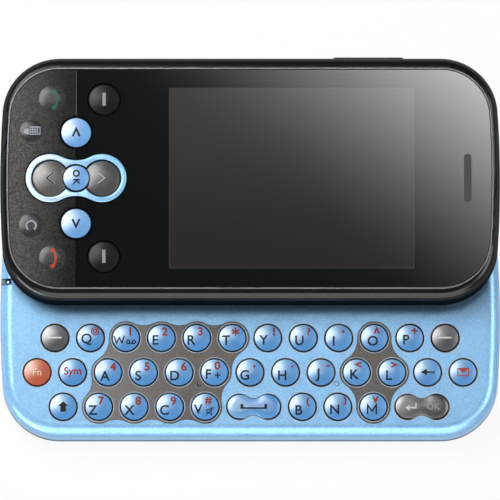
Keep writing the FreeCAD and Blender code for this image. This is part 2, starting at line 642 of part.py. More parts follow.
def lower_slab(body):
    """The lower half's outer form up to the main board, with the back edge rounded."""
    outline = new_sketch(body, "slab_outline")
    inset_slab(outline, "0")
    slab = pad(body, outline, f"{S}lower_height", "slab")
    fillet_level(body, slab, "0", f"{S}lower_edge_fillet", "back_edge")


def lower_housing():
    """The back shell: seats for the board, battery, camera, loudspeaker, socket and screws."""
    body = new_body("lower_housing")
    lower_slab(body)
    rebate = new_sketch(body, "skirt_rebate_outline", z=f"{S}lower_height")
    rectangle(rebate, f"{S}body_length + 2 * {PAST}", f"{S}body_width + 2 * {PAST}")
    inset_slab(rebate, f"({S}skirt_thickness + {S}skirt_air)")
    pocket(body, rebate, f"{S}skirt_drop", "skirt_rebate")
    cover_end = COVER_END_X
    block(body, "cover_bed", (f"-{CLEAR}", cover_end), centred("0", CLEAR), (BELOW, WELL_BOTTOM), cut=True)
    seat = new_sketch(body, "board_seat_outline", z=f"{S}lower_height")
    inset_slab(seat, f"{S}wall")
    pocket(body, seat, f"{S}board_seat_depth", "board_seat")
    well = f"2 * {S}battery_clearance"
    block(body, "battery_well", centred(BATTERY_X, f"{S}battery_length + {well}"),
          centred("0", f"{S}battery_width + {well}"), (WELL_BOTTOM, WELL_TOP), cut=True)
    for side, y in TONGUE_SIDES:
        block(body, f"{side}_tongue_slot",
              (cover_end, f"({cover_end} + {S}cover_tab_reach + {S}cover_tab_air)"),
              centred(y, f"{S}cover_tab_width + 2 * {S}cover_tab_air"),
              (f"({TONGUE_BOTTOM} - {S}cover_gap)", WELL_BOTTOM), cut=True)
    module = f"{S}camera_side + 2 * {S}camera_clearance"
    block(body, "camera_seat", centred(CAMERA_X, module), centred(f"{S}camera_y", module),
          (f"{S}lens_depth", BOARD_BOTTOM), cut=True)
    disc(body, "lens_hole", CAMERA_X, f"{S}camera_y", (BELOW, f"{S}lens_depth"),
         f"{S}lens_radius + {S}camera_clearance", cut=True)
    block(body, "speaker_chamber", centred(SPEAKER_X, f"{S}speaker_length"),
          centred(f"{S}speaker_y", f"{S}speaker_width"), (f"{S}back_floor", BOARD_BOTTOM), cut=True)
    for slot in (-1, 0, 1):
        block(body, f"speaker_slot_{slot + 2}", centred(SPEAKER_X, f"{S}speaker_slot_length"),
              centred(f"{S}speaker_y + {slot} * {S}speaker_slot_pitch", f"{S}speaker_slot_width"),
              (BELOW, f"{S}back_floor"), cut=True)
    socket_opening(body)
    for side, y in SCREW_SIDES:
        disc(body, f"{side}_screw_hole", SCREW_X, y, (BELOW, BOARD_BOTTOM),
             f"{S}screw_shank_radius + {S}screw_clearance", cut=True)
        disc(body, f"{side}_screw_head", SCREW_X, y,
             (BELOW, f"{S}screw_head_inset + {S}screw_head_height"),
             f"{S}screw_head_radius + {S}screw_clearance", cut=True)
    strap_hole(body, True, (BELOW, f"{S}lower_height"))


def battery_cover():
    """The part of the back that slides off towards the left end, with its two tongues."""
    body = new_body("battery_cover")
    lower_slab(body)
    top = f"{S}battery_cover_thickness"
    end = f"({COVER_END_X} - {S}cover_gap)"
    whole_height = (BELOW, f"({S}lower_height + {PAST})")
    block(body, "upper_part", centred("0", f"2 * {CLEAR}"), centred("0", CLEAR),
          (top, whole_height[1]), cut=True)
    block(body, "fixed_part", (end, CLEAR), centred("0", CLEAR), whole_height, cut=True)
    for side, y in TONGUE_SIDES:
        block(body, f"{side}_tongue", (end, f"({COVER_END_X} + {S}cover_tab_reach)"),
              centred(y, f"{S}cover_tab_width"), (TONGUE_BOTTOM, top))
    strap_hole(body, True, whole_height)


def battery():
    """The flat battery pack, on the cover."""
    body = new_body("battery")
    block(body, "pack", centred(BATTERY_X, f"{S}battery_length"), centred("0", f"{S}battery_width"),
          (WELL_BOTTOM, f"({WELL_TOP} - {S}cover_gap)"))


def camera_unit():
    """The camera: its lens barrel at the back and the square module above it."""
    body = new_body("camera_unit")
    block(body, "module", centred(CAMERA_X, f"{S}camera_side"),
          centred(f"{S}camera_y", f"{S}camera_side"),
          (f"{S}lens_depth", f"({S}lens_depth + {S}camera_height)"))
    disc(body, "barrel", CAMERA_X, f"{S}camera_y", (f"{S}lens_inset", f"{S}lens_depth"),
         f"{S}lens_radius")


def main_board():
    """The main board in its seat, with a snap dome for each key and its parts underneath."""
    body = new_body("main_board")
    outline = new_sketch(body, "board_outline", z=BOARD_BOTTOM)
    inset_slab(outline, f"({S}wall + {S}board_clearance)")
    pad(body, outline, f"{S}board_thickness", "board")
    for side, y in SCREW_SIDES:
        reach = f"2 * ({S}boss_radius + {S}board_clearance)"
        block(body, f"{side}_screw_notch", (f"({SCREW_X} - {reach} / 2)", CLEAR), centred(y, reach),
              (BOARD_BOTTOM, BOARD_TOP), cut=True)
    for name, first_x, y, keys in RUNS:
        dome = block(body, f"{name}_dome", centred(first_x, f"{S}dome_side"),
                     centred(y, f"{S}dome_side"), (BOARD_TOP, DOME_TOP))
        repeat_along_x(body, dome, len(keys), f"{name}_domes")
    for node, x in WIDE_KEYS:
        block(body, f"{node}_dome", centred(x, f"{S}dome_side"),
              centred(BOTTOM_ROW_Y, f"{S}dome_side"), (BOARD_TOP, DOME_TOP))
    block(body, "loudspeaker", centred(SPEAKER_X, f"{S}speaker_length - 2 * {S}speaker_air"),
          centred(f"{S}speaker_y", f"{S}speaker_width - 2 * {S}speaker_air"),
          (f"({S}back_floor + {S}camera_clearance)", BOARD_BOTTOM))


def keyboard_cover():
    """The blue front shell of the lower half, with a hole for every key and a skirt round the housing."""
    body = new_body("keyboard_cover")
    outline = new_sketch(body, "shell_outline", z=SKIRT_BOTTOM)
    inset_slab(outline, "0")
    shell = pad(body, outline, f"{S}cover_height + {S}skirt_drop", "shell")
    fillet_level(body, shell, COVER_TOP, f"{S}cover_edge_fillet", "front_edge")
    hollow = new_sketch(body, "hollow_outline", z=PLATE_UNDER)
    inset_slab(hollow, f"{S}wall")
    pocket(body, hollow, f"{PLATE_UNDER} - {S}lower_height", "hollow")
    housing_room = new_sketch(body, "housing_room_outline", z=f"{S}lower_height")
    inset_slab(housing_room, f"{S}skirt_thickness")
    pocket(body, housing_room, f"{S}skirt_drop", "housing_room")
    for side, y in SCREW_SIDES:
        disc(body, f"{side}_boss", SCREW_X, y, (BOARD_BOTTOM, PLATE_UNDER), f"{S}boss_radius")
        disc(body, f"{side}_boss_hole", SCREW_X, y, (BOARD_BOTTOM, PLATE_UNDER),
             f"{S}screw_shank_radius + {S}screw_clearance", cut=True)
    for name, first_x, y, keys in RUNS:
        hole = disc(body, f"{name}_hole", first_x, y, (PLATE_UNDER, COVER_TOP),
                    f"{S}key_cap_radius + {S}key_gap", cut=True)
        repeat_along_x(body, hole, len(keys), f"{name}_holes")
    for node, x in WIDE_KEYS:
        outline = new_sketch(body, f"{node}_hole_outline", x, BOTTOM_ROW_Y, COVER_TOP)
        peanut_outline(outline, f"({S}wide_lobe_radius + {S}key_gap)", f"{S}wide_lobe_offset",
                       f"({S}wide_waist + {S}key_gap)")
        pocket(body, outline, f"{S}cover_top_thickness", f"{node}_hole")
    block(body, "cable_slot", centred("0", CABLE_SLOT_WIDTH), centred(FIXED_SLOT_Y, f"{S}cable_slot"),
          (PLATE_UNDER, COVER_TOP), cut=True)
    socket_opening(body)
    strap_hole(body, False, (SKIRT_BOTTOM, COVER_TOP))


def housing_screws():
    """The two screws from the back into the keyboard cover's bosses."""
    pieces = []
    for side, y in SCREW_SIDES:
        head = doc.addObject("Part::Cylinder", f"{side}_head")
        head.setExpression("Radius", f"{S}screw_head_radius")
        head.setExpression("Height", f"{S}screw_head_height")
        head.setExpression("Placement.Base.z", f"{S}screw_head_inset")
        shank = doc.addObject("Part::Cylinder", f"{side}_shank")
        shank.setExpression("Radius", f"{S}screw_shank_radius")
        shank.setExpression("Height", f"{PLATE_UNDER} - {S}screw_clearance - {S}screw_head_inset")
        shank.setExpression("Placement.Base.z", f"{S}screw_head_inset")
        screw = doc.addObject("Part::Fuse", f"{side}_screw")
        screw.Base, screw.Tool = head, shank
        screw.setExpression("Placement.Base.x", SCREW_X)
        screw.setExpression("Placement.Base.y", y)
        pieces.append(screw)
    group = doc.addObject("Part::Compound", "housing_screws")
    group.Label = "housing_screws"
    group.Links = pieces
    SUBPARTS.append(group)


# ---------------------------------------------------------------- slide

# The fixed plate stands on the keyboard cover. Its two side wings are the rails. The sliding plate is
# let into the back of the upper housing, and its lips reach round the rails. A stop at each end of a
# channel meets the rail when the phone is open and when it is closed. Each spring has one end on each
# plate and is squeezed most half-way, so that it throws the upper half open or shut.
CARRIAGE_HIGH = f"({SIDE_Y} - {S}carriage_side_margin)"
CARRIAGE_LOW = f"(-{CARRIAGE_HIGH})"
STOP = f"({S}metal + {S}stop_clearance)"
RAIL_LOW = f"({CARRIAGE_LOW} + {S}slide_travel + {STOP})"
RAIL_HIGH = f"({CARRIAGE_HIGH} - {STOP})"
BASE_TOP = f"({COVER_TOP} + {S}metal)"
FIXED_POST_Y = f"(({RAIL_LOW} + {RAIL_HIGH}) / 2)"
MOVING_POST_Y = f"({FIXED_POST_Y} - {S}slide_travel / 2)"
SPRING_LOW = f"(({BASE_TOP} + {WEB_BOTTOM}) / 2 - {S}spring_wire)"
CABLE_LEVEL = f"(({BASE_TOP} + {WEB_BOTTOM} - {S}cable_thickness) / 2)"
FIXED_SLOT_Y = FIXED_POST_Y
MOVING_SLOT_Y = f"({FIXED_POST_Y} + {S}cable_run - {S}slide_travel)"
CABLE_SLOT_WIDTH = f"({S}cable_width + {S}cable_slot)"
MOVING_POST_X = f"({S}cable_width / 2 + {S}moving_post_step)"
FIXED_POST_X = f"({MOVING_POST_X} + {S}fixed_post_step)"
SPRING_COIL_X = f"({FIXED_POST_X} + {S}spring_coil_step)"


def plate_along_y(body, corners, y, name):
    """A bent plate whose section, seen along the slide, runs between two places along Y."""
    sketch = new_sketch(body, f"{name}_section", z=f"-{y[1]}", role="XZ_Plane")
    section(sketch, corners)
    pad(body, sketch, f"{y[1]} - {y[0]}", name)


def mirrored(half):
    """Corners down one side and back up the other."""
    return half + [(f"-{x}", z) for x, z in reversed(half)]


def slide_rail_plate():
    """The fixed steel plate: a flat base with a wing bent up along each side."""
    body = new_body("slide_rail_plate")
    base_half = RAIL_BASE_HALF
    riser = f"({RAIL_BASE_HALF} - {S}metal)"
    half = [(base_half, COVER_TOP), (base_half, WING_BOTTOM), (RAIL_END, WING_BOTTOM),
            (RAIL_END, WING_TOP), (riser, WING_TOP), (riser, BASE_TOP)]
    plate_along_y(body, mirrored(half), (RAIL_LOW, RAIL_HIGH), "plate")
    block(body, "cable_slot", centred("0", CABLE_SLOT_WIDTH), centred(FIXED_SLOT_Y, f"{S}cable_slot"),
          (COVER_TOP, BASE_TOP), cut=True)
    for side, x in (("left", f"-{FIXED_POST_X}"), ("right", FIXED_POST_X)):
        disc(body, f"{side}_post", x, FIXED_POST_Y, (BASE_TOP, f"({WEB_BOTTOM} - {S}run_clearance)"),
             f"{S}post_radius")


def slide_carriage():
    """The sliding steel plate: a web, a channel down each side with its lip, and four end stops."""
    body = new_body("slide_carriage")
    lip_edge = f"({RAIL_BASE_HALF} + {S}side_clearance)"
    half = [(CARRIAGE_HALF, WEB_TOP), (CARRIAGE_HALF, UPPER_BOTTOM), (lip_edge, UPPER_BOTTOM),
            (lip_edge, LIP_TOP), (CHANNEL, LIP_TOP), (CHANNEL, WEB_BOTTOM)]
    plate_along_y(body, mirrored(half), (CARRIAGE_LOW, CARRIAGE_HIGH), "channel")
    for side, x in (("left", (f"-{CHANNEL}", f"-{lip_edge}")), ("right", (lip_edge, CHANNEL))):
        block(body, f"{side}_open_stop", x, (CARRIAGE_LOW, f"({CARRIAGE_LOW} + {S}metal)"),
              (LIP_TOP, WEB_BOTTOM))
        block(body, f"{side}_closed_stop", x, (f"({CARRIAGE_HIGH} - {S}metal)", CARRIAGE_HIGH),
              (LIP_TOP, WEB_BOTTOM))
    block(body, "cable_slot", centred("0", CABLE_SLOT_WIDTH), centred(MOVING_SLOT_Y, f"{S}cable_slot"),
          (WEB_BOTTOM, WEB_TOP), cut=True)
    for side, x in (("left", f"-{MOVING_POST_X}"), ("right", MOVING_POST_X)):
        disc(body, f"{side}_post", x, MOVING_POST_Y, (f"({BASE_TOP} + {S}run_clearance)", WEB_BOTTOM),
             f"{S}post_radius")
    open_half(body)


def bar(start, end, width, low, high):
    """A square wire between two places in plan, from one level to another."""
    run = FreeCAD.Vector(end[0] - start[0], end[1] - start[1], 0)
    wire = Part.makeBox(run.Length, width, high - low, FreeCAD.Vector(0, -width / 2, 0))
    wire.rotate(FreeCAD.Vector(), FreeCAD.Vector(0, 0, 1), math.degrees(math.atan2(run.y, run.x)))
    wire.translate(FreeCAD.Vector(start[0], start[1], low))
    return wire


def slide_springs():
    """Two torsion springs, each a coil of two turns with an arm to each plate's post, as they lie open."""
    wire = value(f"{S}spring_wire")
    coil_r = value(f"{S}spring_coil_radius")
    low = value(SPRING_LOW)
    post_air = value(f"{S}post_radius + {S}run_clearance")
    fixed = (value(FIXED_POST_X), value(FIXED_POST_Y))
    moving = (value(MOVING_POST_X), value(f"{MOVING_POST_Y} + {S}slide_travel"))
    coil = (value(SPRING_COIL_X), fixed[1] + value(f"{S}spring_coil_rise"))
    coil_middle = FreeCAD.Vector(*coil, low)
    right = Part.makeCylinder(coil_r, 2 * wire, coil_middle)
    arms = []
    for post, level in ((fixed, low), (moving, low + wire)):
        away = FreeCAD.Vector(coil[0] - post[0], coil[1] - post[1], 0).normalize()
        start = (post[0] + away.x * post_air, post[1] + away.y * post_air)
        arms.append(bar(start, coil, wire, level, level + wire))
    right = right.fuse(arms).cut(Part.makeCylinder(coil_r - wire, 2 * wire, coil_middle))
    springs = doc.addObject("Part::Feature", "slide_springs")
    springs.Label = "slide_springs"
    springs.Shape = Part.makeCompound([right, right.mirror(FreeCAD.Vector(), FreeCAD.Vector(1, 0, 0))])
    SUBPARTS.append(springs)


def flex_cable():
    """The ribbon cable: up from the main board, across the gap and up to the display board."""
    body = new_body("flex_cable")
    near = centred(FIXED_SLOT_Y, f"{S}cable_thickness")
    far = centred(f"({FIXED_SLOT_Y} + {S}cable_run)", f"{S}cable_thickness")
    over = f"({CABLE_LEVEL} + {S}cable_thickness)"
    corners = [(near[0], BOARD_TOP), (near[1], BOARD_TOP), (near[1], CABLE_LEVEL), (far[1], CABLE_LEVEL),
               (far[1], UPPER_BOARD_BOTTOM), (far[0], UPPER_BOARD_BOTTOM), (far[0], over), (near[0], over)]
    sketch = new_sketch(body, "ribbon_section", z=f"-{S}cable_width / 2", role="YZ_Plane")
    section(sketch, corners)
    pad(body, sketch, f"{S}cable_width", "ribbon")


# ---------------------------------------------------------------- upper half

SEAM_X = f"({S}seam_end_margin - {END_X})"
SOFT_KEY_X = f"({SEAM_X} + {S}soft_key_step)"
SOFT_KEY_Y = f"({SIDE_Y} - {S}soft_key_side_margin)"
CALL_BUMP_Y = f"({SIDE_Y} - {S}call_bump_side_margin)"
EARPIECE_X = f"({END_X} - {S}earpiece_end_margin)"
ROUND_FRONT_KEYS = [
    ("front_soft_upper", SOFT_KEY_X, SOFT_KEY_Y),
    ("front_soft_lower", SOFT_KEY_X, f"-{SOFT_KEY_Y}"),
    ("nav_up", SEAM_X, f"{S}scroll_key_y"),
    ("nav_down", SEAM_X, f"-{S}scroll_key_y"),
]
SIDE_FRONT_KEYS = [("nav_left", f"-{S}ring_lobe_offset"), ("nav_right", f"{S}ring_lobe_offset")]
RING_INSIDE = f"({S}ring_lobe_radius - {S}ring_band)"
SIDE_CAP_RADIUS = f"({RING_INSIDE} - {S}front_gap)"
OK_HOLE_RADIUS = f"({S}ok_cap_radius + {S}front_gap)"
SIDE_CAP_TOP = f"({FRONT_KEY_TOP} - {S}front_crown)"
WINDOW_INSET = f"({S}face_rim_gap + {S}face_rim_width + {S}window_gap)"

ROCKER_Z = f"(({UPPER_BOARD_TOP} + {WINDOW_BOTTOM}) / 2)"
CAVITY_SIDE = f"({SIDE_Y} - {S}face_side_margin - {S}face_ledge)"
ROCKER_X = f"({END_X} - {S}rocker_end_margin)"
ROCKER_PIN_Y = f"({CAVITY_SIDE} - {S}rocker_gap - {S}rocker_pin_radius)"


def front_key(node, x, y, radius, top, tabs_along, cut_towards=""):
    """A key of the front face: tabs under the window, a nub over its dome, and the cap."""
    body = new_body(node)
    long_side, short_side = f"2 * ({radius} + {S}front_tab)", f"{S}front_tab_width"
    width, depth = (long_side, short_side) if tabs_along == "x" else (short_side, long_side)
    block(body, "tabs", centred("0", width), centred("0", depth), (FRONT_TAB_BOTTOM, FRONT_TAB_TOP))
    block(body, "nub", centred("0", f"{S}key_nub_side"), centred("0", f"{S}key_nub_side"),
          (FRONT_NUB_BOTTOM, FRONT_TAB_BOTTOM))
    disc(body, "cap", "0", "0", (FRONT_TAB_TOP, top), radius)
    if cut_towards:
        disc(body, "middle_key_room", cut_towards, "0", (FRONT_TAB_BOTTOM, top), OK_HOLE_RADIUS, cut=True)
    else:
        crown_cut(body, "crown", top, radius, f"{S}front_crown")
    body.setExpression("Placement.Base.x", x)
    body.setExpression("Placement.Base.y", f"{S}slide_travel + {y}")


def front_keys():
    """The seven separate keys of the front face."""
    for node, x, y in ROUND_FRONT_KEYS:
        front_key(node, x, y, f"{S}front_cap_radius", FRONT_KEY_TOP, "x")
    for node, offset in SIDE_FRONT_KEYS:
        front_key(node, f"{SEAM_X} + {offset}", "0", SIDE_CAP_RADIUS, SIDE_CAP_TOP, "y", f"-({offset})")
    front_key("nav_ok", SEAM_X, "0", f"{S}ok_cap_radius", FRONT_KEY_TOP, "y")


def dpad_ring():
    """The figure-of-eight frame round the left, middle and right keys."""
    body = new_body("dpad_ring")
    outline = new_sketch(body, "ring_outline", SEAM_X, z=WINDOW_BOTTOM)
    peanut_outline(outline, f"{S}ring_lobe_radius", f"{S}ring_lobe_offset", f"{S}ring_waist")
    top = f"({WINDOW_TOP} + {S}ring_rise)"
    pad(body, outline, f"{top} - {WINDOW_BOTTOM}", "ring")
    for node, offset in SIDE_FRONT_KEYS:
        disc(body, f"{node}_hole", f"{SEAM_X} + {offset}", "0", (WINDOW_BOTTOM, top), RING_INSIDE, cut=True)
    disc(body, "ok_hole", SEAM_X, "0", (WINDOW_BOTTOM, top), OK_HOLE_RADIUS, cut=True)
    open_half(body)


def face_holes(body, keys):
    """Cuts the holes of some round front keys, and the place of the ring, through a front piece."""
    for node, x, y in keys:
        disc(body, f"{node}_hole", x, y, (WINDOW_BOTTOM, WINDOW_TOP), f"{S}front_cap_radius + {S}front_gap",
             cut=True)
    outline = new_sketch(body, "ring_place_outline", SEAM_X, z=WINDOW_TOP)
    peanut_outline(outline, f"({S}ring_lobe_radius + {S}window_gap)", f"{S}ring_lobe_offset",
                   f"({S}ring_waist + {S}window_gap)")
    pocket(body, outline, f"{S}window_thickness", "ring_place")


def face_plate(node):
    """A piece of the front face, with the face's outline drawn in by its gap."""
    body = new_body(node)
    outline = new_sketch(body, "face_outline", z=WINDOW_BOTTOM)
    inset_face(outline, WINDOW_INSET)
    pad(body, outline, f"{S}window_thickness", "plate")
    return body


def face_rim():
    """The thin bright ring that lies between the housing and the front face, on the same ledge."""
    body = new_body("face_rim")
    outside = new_sketch(body, "rim_outline", z=WINDOW_BOTTOM)
    inset_face(outside, f"{S}face_rim_gap")
    height = f"{UPPER_TOP} - {WINDOW_BOTTOM}"
    pad(body, outside, height, "rim")
    inside = new_sketch(body, "opening_outline", z=UPPER_TOP)
    inset_face(inside, f"({S}face_rim_gap + {S}face_rim_width)")
    pocket(body, inside, height, "opening")
    open_half(body)


def display_window():
    """The window: right of the seam, with holes for four keys, the ring and the earpiece."""
    body = face_plate("display_window")
    block(body, "left_of_seam", (f"-{CLEAR}", f"({SEAM_X} + {S}window_gap / 2)"), centred("0", CLEAR),
          (WINDOW_BOTTOM, WINDOW_TOP), cut=True)
    face_holes(body, ROUND_FRONT_KEYS)
    earpiece = new_sketch(body, "earpiece_outline", EARPIECE_X, z=WINDOW_TOP)
    slot_outline(earpiece, f"{S}earpiece_length", f"{S}earpiece_width")
    pocket(body, earpiece, f"{S}window_thickness", "earpiece_slot")
    open_half(body)


def side_key_panel():
    """The panel left of the seam. Its four raised keys bend with it."""
    body = face_plate("side_key_panel")
    block(body, "right_of_seam", (f"({SEAM_X} - {S}window_gap / 2)", CLEAR), centred("0", CLEAR),
          (WINDOW_BOTTOM, WINDOW_TOP), cut=True)
    face_holes(body, ROUND_FRONT_KEYS[2:])
    for name, x, y in (("call", f"{SEAM_X} - {S}call_bump_step", CALL_BUMP_Y),
                       ("menu", f"{SEAM_X} - {S}menu_bump_step", f"{S}menu_bump_y")):
        for side, sign in (("upper", ""), ("lower", "-")):
            disc(body, f"{side}_{name}_key", x, f"{sign}{y}",
                 (WINDOW_TOP, f"({WINDOW_TOP} + {S}bump_rise)"), f"{S}bump_radius")
    open_half(body)


def upper_housing():
    """The black shell of the upper half: a rim round the face, and a recess for the sliding plate."""
    body = new_body("upper_housing")
    outline = new_sketch(body, "shell_outline", z=UPPER_BOTTOM)
    inset_slab(outline, "0")
    shell = pad(body, outline, f"{S}upper_height", "shell")
    back = chamfer_level(body, shell, UPPER_BOTTOM, f"{S}upper_back_chamfer", "back_edge")
    fillet_level(body, back, UPPER_TOP, f"{S}upper_top_fillet", "front_edge")
    face = new_sketch(body, "face_outline", z=UPPER_TOP)
    inset_face(face, "0")
    pocket(body, face, f"{UPPER_TOP} - {WINDOW_BOTTOM}", "face")
    cavity = new_sketch(body, "cavity_outline", z=WINDOW_BOTTOM)
    inset_face(cavity, f"{S}face_ledge")
    pocket(body, cavity, f"{WINDOW_BOTTOM} - {UPPER_BOARD_BOTTOM}", "cavity")
    air = f"{S}carriage_seat"
    block(body, "carriage_recess", (f"(-{CARRIAGE_HALF} - {air})", f"({CARRIAGE_HALF} + {air})"),
          (f"({CARRIAGE_LOW} - {air})", f"({CARRIAGE_HIGH} + {air})"),
          (f"({UPPER_BOTTOM} - {PAST})", WEB_TOP), cut=True)
    block(body, "cable_slot", centred("0", CABLE_SLOT_WIDTH), centred(MOVING_SLOT_Y, f"{S}cable_slot"),
          (WEB_TOP, UPPER_BOARD_BOTTOM), cut=True)
    air = f"2 * {S}rocker_gap"
    block(body, "rocker_slot", centred(ROCKER_X, f"{S}rocker_length + {air}"),
          (f"({CAVITY_SIDE} - {PAST})", f"({SIDE_Y} + {PAST})"),
          centred(ROCKER_Z, f"{S}rocker_height + {air}"), cut=True)
    open_half(body)


def volume_rocker():
    """The volume key in the side wall. It tips about the upright pin on its inner side."""
    body = new_body("volume_rocker")
    block(body, "cap", centred(ROCKER_X, f"{S}rocker_length"),
          (ROCKER_PIN_Y, f"({SIDE_Y} + {S}rocker_rise)"), centred(ROCKER_Z, f"{S}rocker_height"))
    pin = centred(ROCKER_Z, f"({S}rocker_height + 2 * ({S}rocker_gap + {S}rocker_pin_lip))")
    disc(body, "pin", ROCKER_X, ROCKER_PIN_Y, pin, f"{S}rocker_pin_radius")
    open_half(body)


def display_board():
    """The board of the upper half, with the display, the earpiece and the domes of the front keys."""
    body = new_body("display_board")
    outline = new_sketch(body, "board_outline", z=UPPER_BOARD_BOTTOM)
    inset_face(outline, f"({S}face_ledge + {S}board_clearance)")
    pad(body, outline, f"{S}upper_board_thickness", "board")
    block(body, "display", (f"({S}screen_left_margin - {S}screen_border - {END_X})",
                            f"({END_X} - {S}screen_right_margin + {S}screen_border)"),
          centred("0", f"2 * ({SIDE_Y} - {S}screen_side_margin + {S}screen_border)"),
          (UPPER_BOARD_TOP, SCREEN_TOP))
    block(body, "earpiece", centred(EARPIECE_X, f"{S}earpiece_capsule"),
          centred("0", f"{S}earpiece_length"), (UPPER_BOARD_TOP, SCREEN_TOP))
    dome = (UPPER_BOARD_TOP, f"({UPPER_BOARD_TOP} + {S}dome_height)")
    places = [(node, x, y) for node, x, y in ROUND_FRONT_KEYS]
    places += [(node, f"{SEAM_X} + {offset}", "0") for node, offset in SIDE_FRONT_KEYS]
    places.append(("nav_ok", SEAM_X, "0"))
    for node, x, y in places:
        block(body, f"{node}_dome", centred(x, f"{S}dome_side"), centred(y, f"{S}dome_side"), dome)
    open_half(body)


# ---------------------------------------------------------------- build, check and write


def build():
    """Makes every sub-part of the phone."""
    lower_housing()
    battery_cover()
    battery()
    camera_unit()
    main_board()
    keyboard_cover()
    housing_screws()
    keyboard_keys()
    slide_rail_plate()
    slide_carriage()
    slide_springs()
    flex_cable()
    upper_housing()
    display_window()
    side_key_panel()
    face_rim()
    dpad_ring()
    front_keys()
    volume_rocker()
    display_board()
    doc.recompute()


def check():
    """Stops if any object failed, or if a sub-part is empty or not valid."""
    failed = [item.Name for item in doc.Objects if {"Invalid", "Error"} & set(item.State)]
    if failed:
        raise RuntimeError(f"objects that failed to build: {failed}")
    for piece in SUBPARTS:
        shape = piece.Shape
        if shape.isNull() or not shape.isValid() or not shape.Solids:
            raise RuntimeError(f"{piece.Label} has no valid solid")


def write():
    """Writes each sub-part to a STEP file that has its name."""
    os.makedirs("parts", exist_ok=True)
    for piece in SUBPARTS:
        piece.Shape.exportStep(f"parts/{piece.Label}.step")
    print(f"{len(SUBPARTS)} sub-parts written")


build()
check()
write()
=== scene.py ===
# %% [markdown]
# # Dressing a slider phone
# The phone is two halves. The upper one holds the display and slides up, and the lower one
# holds a three-row keyboard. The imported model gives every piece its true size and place.
# This script leaves the pieces where they are, gives each one its finish, and builds the
# domed keys, their printing and other fine forms that a plain solid lacks.

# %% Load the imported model
import json
import math

import bmesh
import bpy
from mathutils import Matrix, Vector

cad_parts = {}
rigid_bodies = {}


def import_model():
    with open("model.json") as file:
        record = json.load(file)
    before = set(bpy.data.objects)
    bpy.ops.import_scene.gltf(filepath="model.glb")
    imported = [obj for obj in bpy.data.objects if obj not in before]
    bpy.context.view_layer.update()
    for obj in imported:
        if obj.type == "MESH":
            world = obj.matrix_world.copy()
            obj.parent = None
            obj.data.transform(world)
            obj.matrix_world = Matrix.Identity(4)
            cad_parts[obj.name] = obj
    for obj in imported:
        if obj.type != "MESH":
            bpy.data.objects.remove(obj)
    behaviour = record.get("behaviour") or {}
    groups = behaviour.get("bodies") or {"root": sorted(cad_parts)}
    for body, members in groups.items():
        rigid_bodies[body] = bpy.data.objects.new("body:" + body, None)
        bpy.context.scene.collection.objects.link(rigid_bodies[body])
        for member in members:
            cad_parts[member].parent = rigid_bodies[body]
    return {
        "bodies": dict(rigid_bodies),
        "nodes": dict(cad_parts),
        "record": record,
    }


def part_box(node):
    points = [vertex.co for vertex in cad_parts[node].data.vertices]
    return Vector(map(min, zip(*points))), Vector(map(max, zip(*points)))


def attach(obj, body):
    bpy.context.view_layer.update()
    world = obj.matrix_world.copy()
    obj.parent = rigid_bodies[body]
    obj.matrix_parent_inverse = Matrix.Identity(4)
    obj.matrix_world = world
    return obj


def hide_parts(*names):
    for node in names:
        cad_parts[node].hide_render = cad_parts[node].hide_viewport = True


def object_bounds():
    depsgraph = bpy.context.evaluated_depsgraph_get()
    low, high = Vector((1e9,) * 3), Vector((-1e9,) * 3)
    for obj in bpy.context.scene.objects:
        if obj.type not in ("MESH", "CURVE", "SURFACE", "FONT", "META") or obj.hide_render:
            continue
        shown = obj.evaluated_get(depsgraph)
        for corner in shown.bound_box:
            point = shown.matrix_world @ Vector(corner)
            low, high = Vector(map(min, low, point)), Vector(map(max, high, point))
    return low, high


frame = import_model()
cad_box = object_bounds()
MM = 0.001
print("overall size in mm:", [round(v / MM, 2) for v in cad_box[1] - cad_box[0]])

# %% [markdown]
# ## The camera
# A phone is pictured from almost straight above, tipped a little so that the thickness of
# its near edges shows. A long lens from three metres away keeps the two long sides
# parallel. The aim is the point, in mm, that lies in the middle of the view.


# %% Put things in the scene and turn them
def add_object(name, data):
    """A new object in the scene, made from a mesh, a curve, a lamp or a camera."""
    thing = bpy.data.objects.new(name, data)
    bpy.context.scene.collection.objects.link(thing)
    return thing


def face_towards(thing, place, way):
    """Puts a camera or a lamp at a place and turns it to look a way."""
    thing.location = place
    thing.rotation_mode = "QUATERNION"
    thing.rotation_quaternion = way.to_track_quat("-Z", "Y")


# %% Set the camera
ELEVATION = math.radians(79)
CAMERA_DISTANCE = 3.0
VIEW_WIDTH = 101.8 * MM
AIM = Vector((-0.02, 14.36, 2.79)) * MM
SENSOR_WIDTH = 36.0

camera = add_object("camera", bpy.data.cameras.new("camera"))
towards_camera = Vector((0, -math.cos(ELEVATION), math.sin(ELEVATION)))
face_towards(camera, AIM + towards_camera * CAMERA_DISTANCE, -towards_camera)
camera.data.sensor_width = SENSOR_WIDTH
camera.data.lens = SENSOR_WIDTH * CAMERA_DISTANCE / VIEW_WIDTH
camera.data.clip_end = 50
bpy.context.scene.camera = camera
print("lens in mm:", round(camera.data.lens))

# %% [markdown]
# ## Shader maths as Python
# A finish is a network of nodes, and most of them do plain sums. Adding every one by hand
# hides the idea, so a small class wraps an output socket and lets +, -, * and / add the
# Math nodes. Colours never go through Math, which would turn them grey, so they have
# their own `mix`.


# %% A socket that does sums
def two_ways(operation):
    """An operator's method, and its reflected form for when the wire stands on the right."""
    def forward(self, other):
        return self.maths(operation, self, other)

    def reflected(self, other):
        return self.maths(operation, other, self)
    return forward, reflected


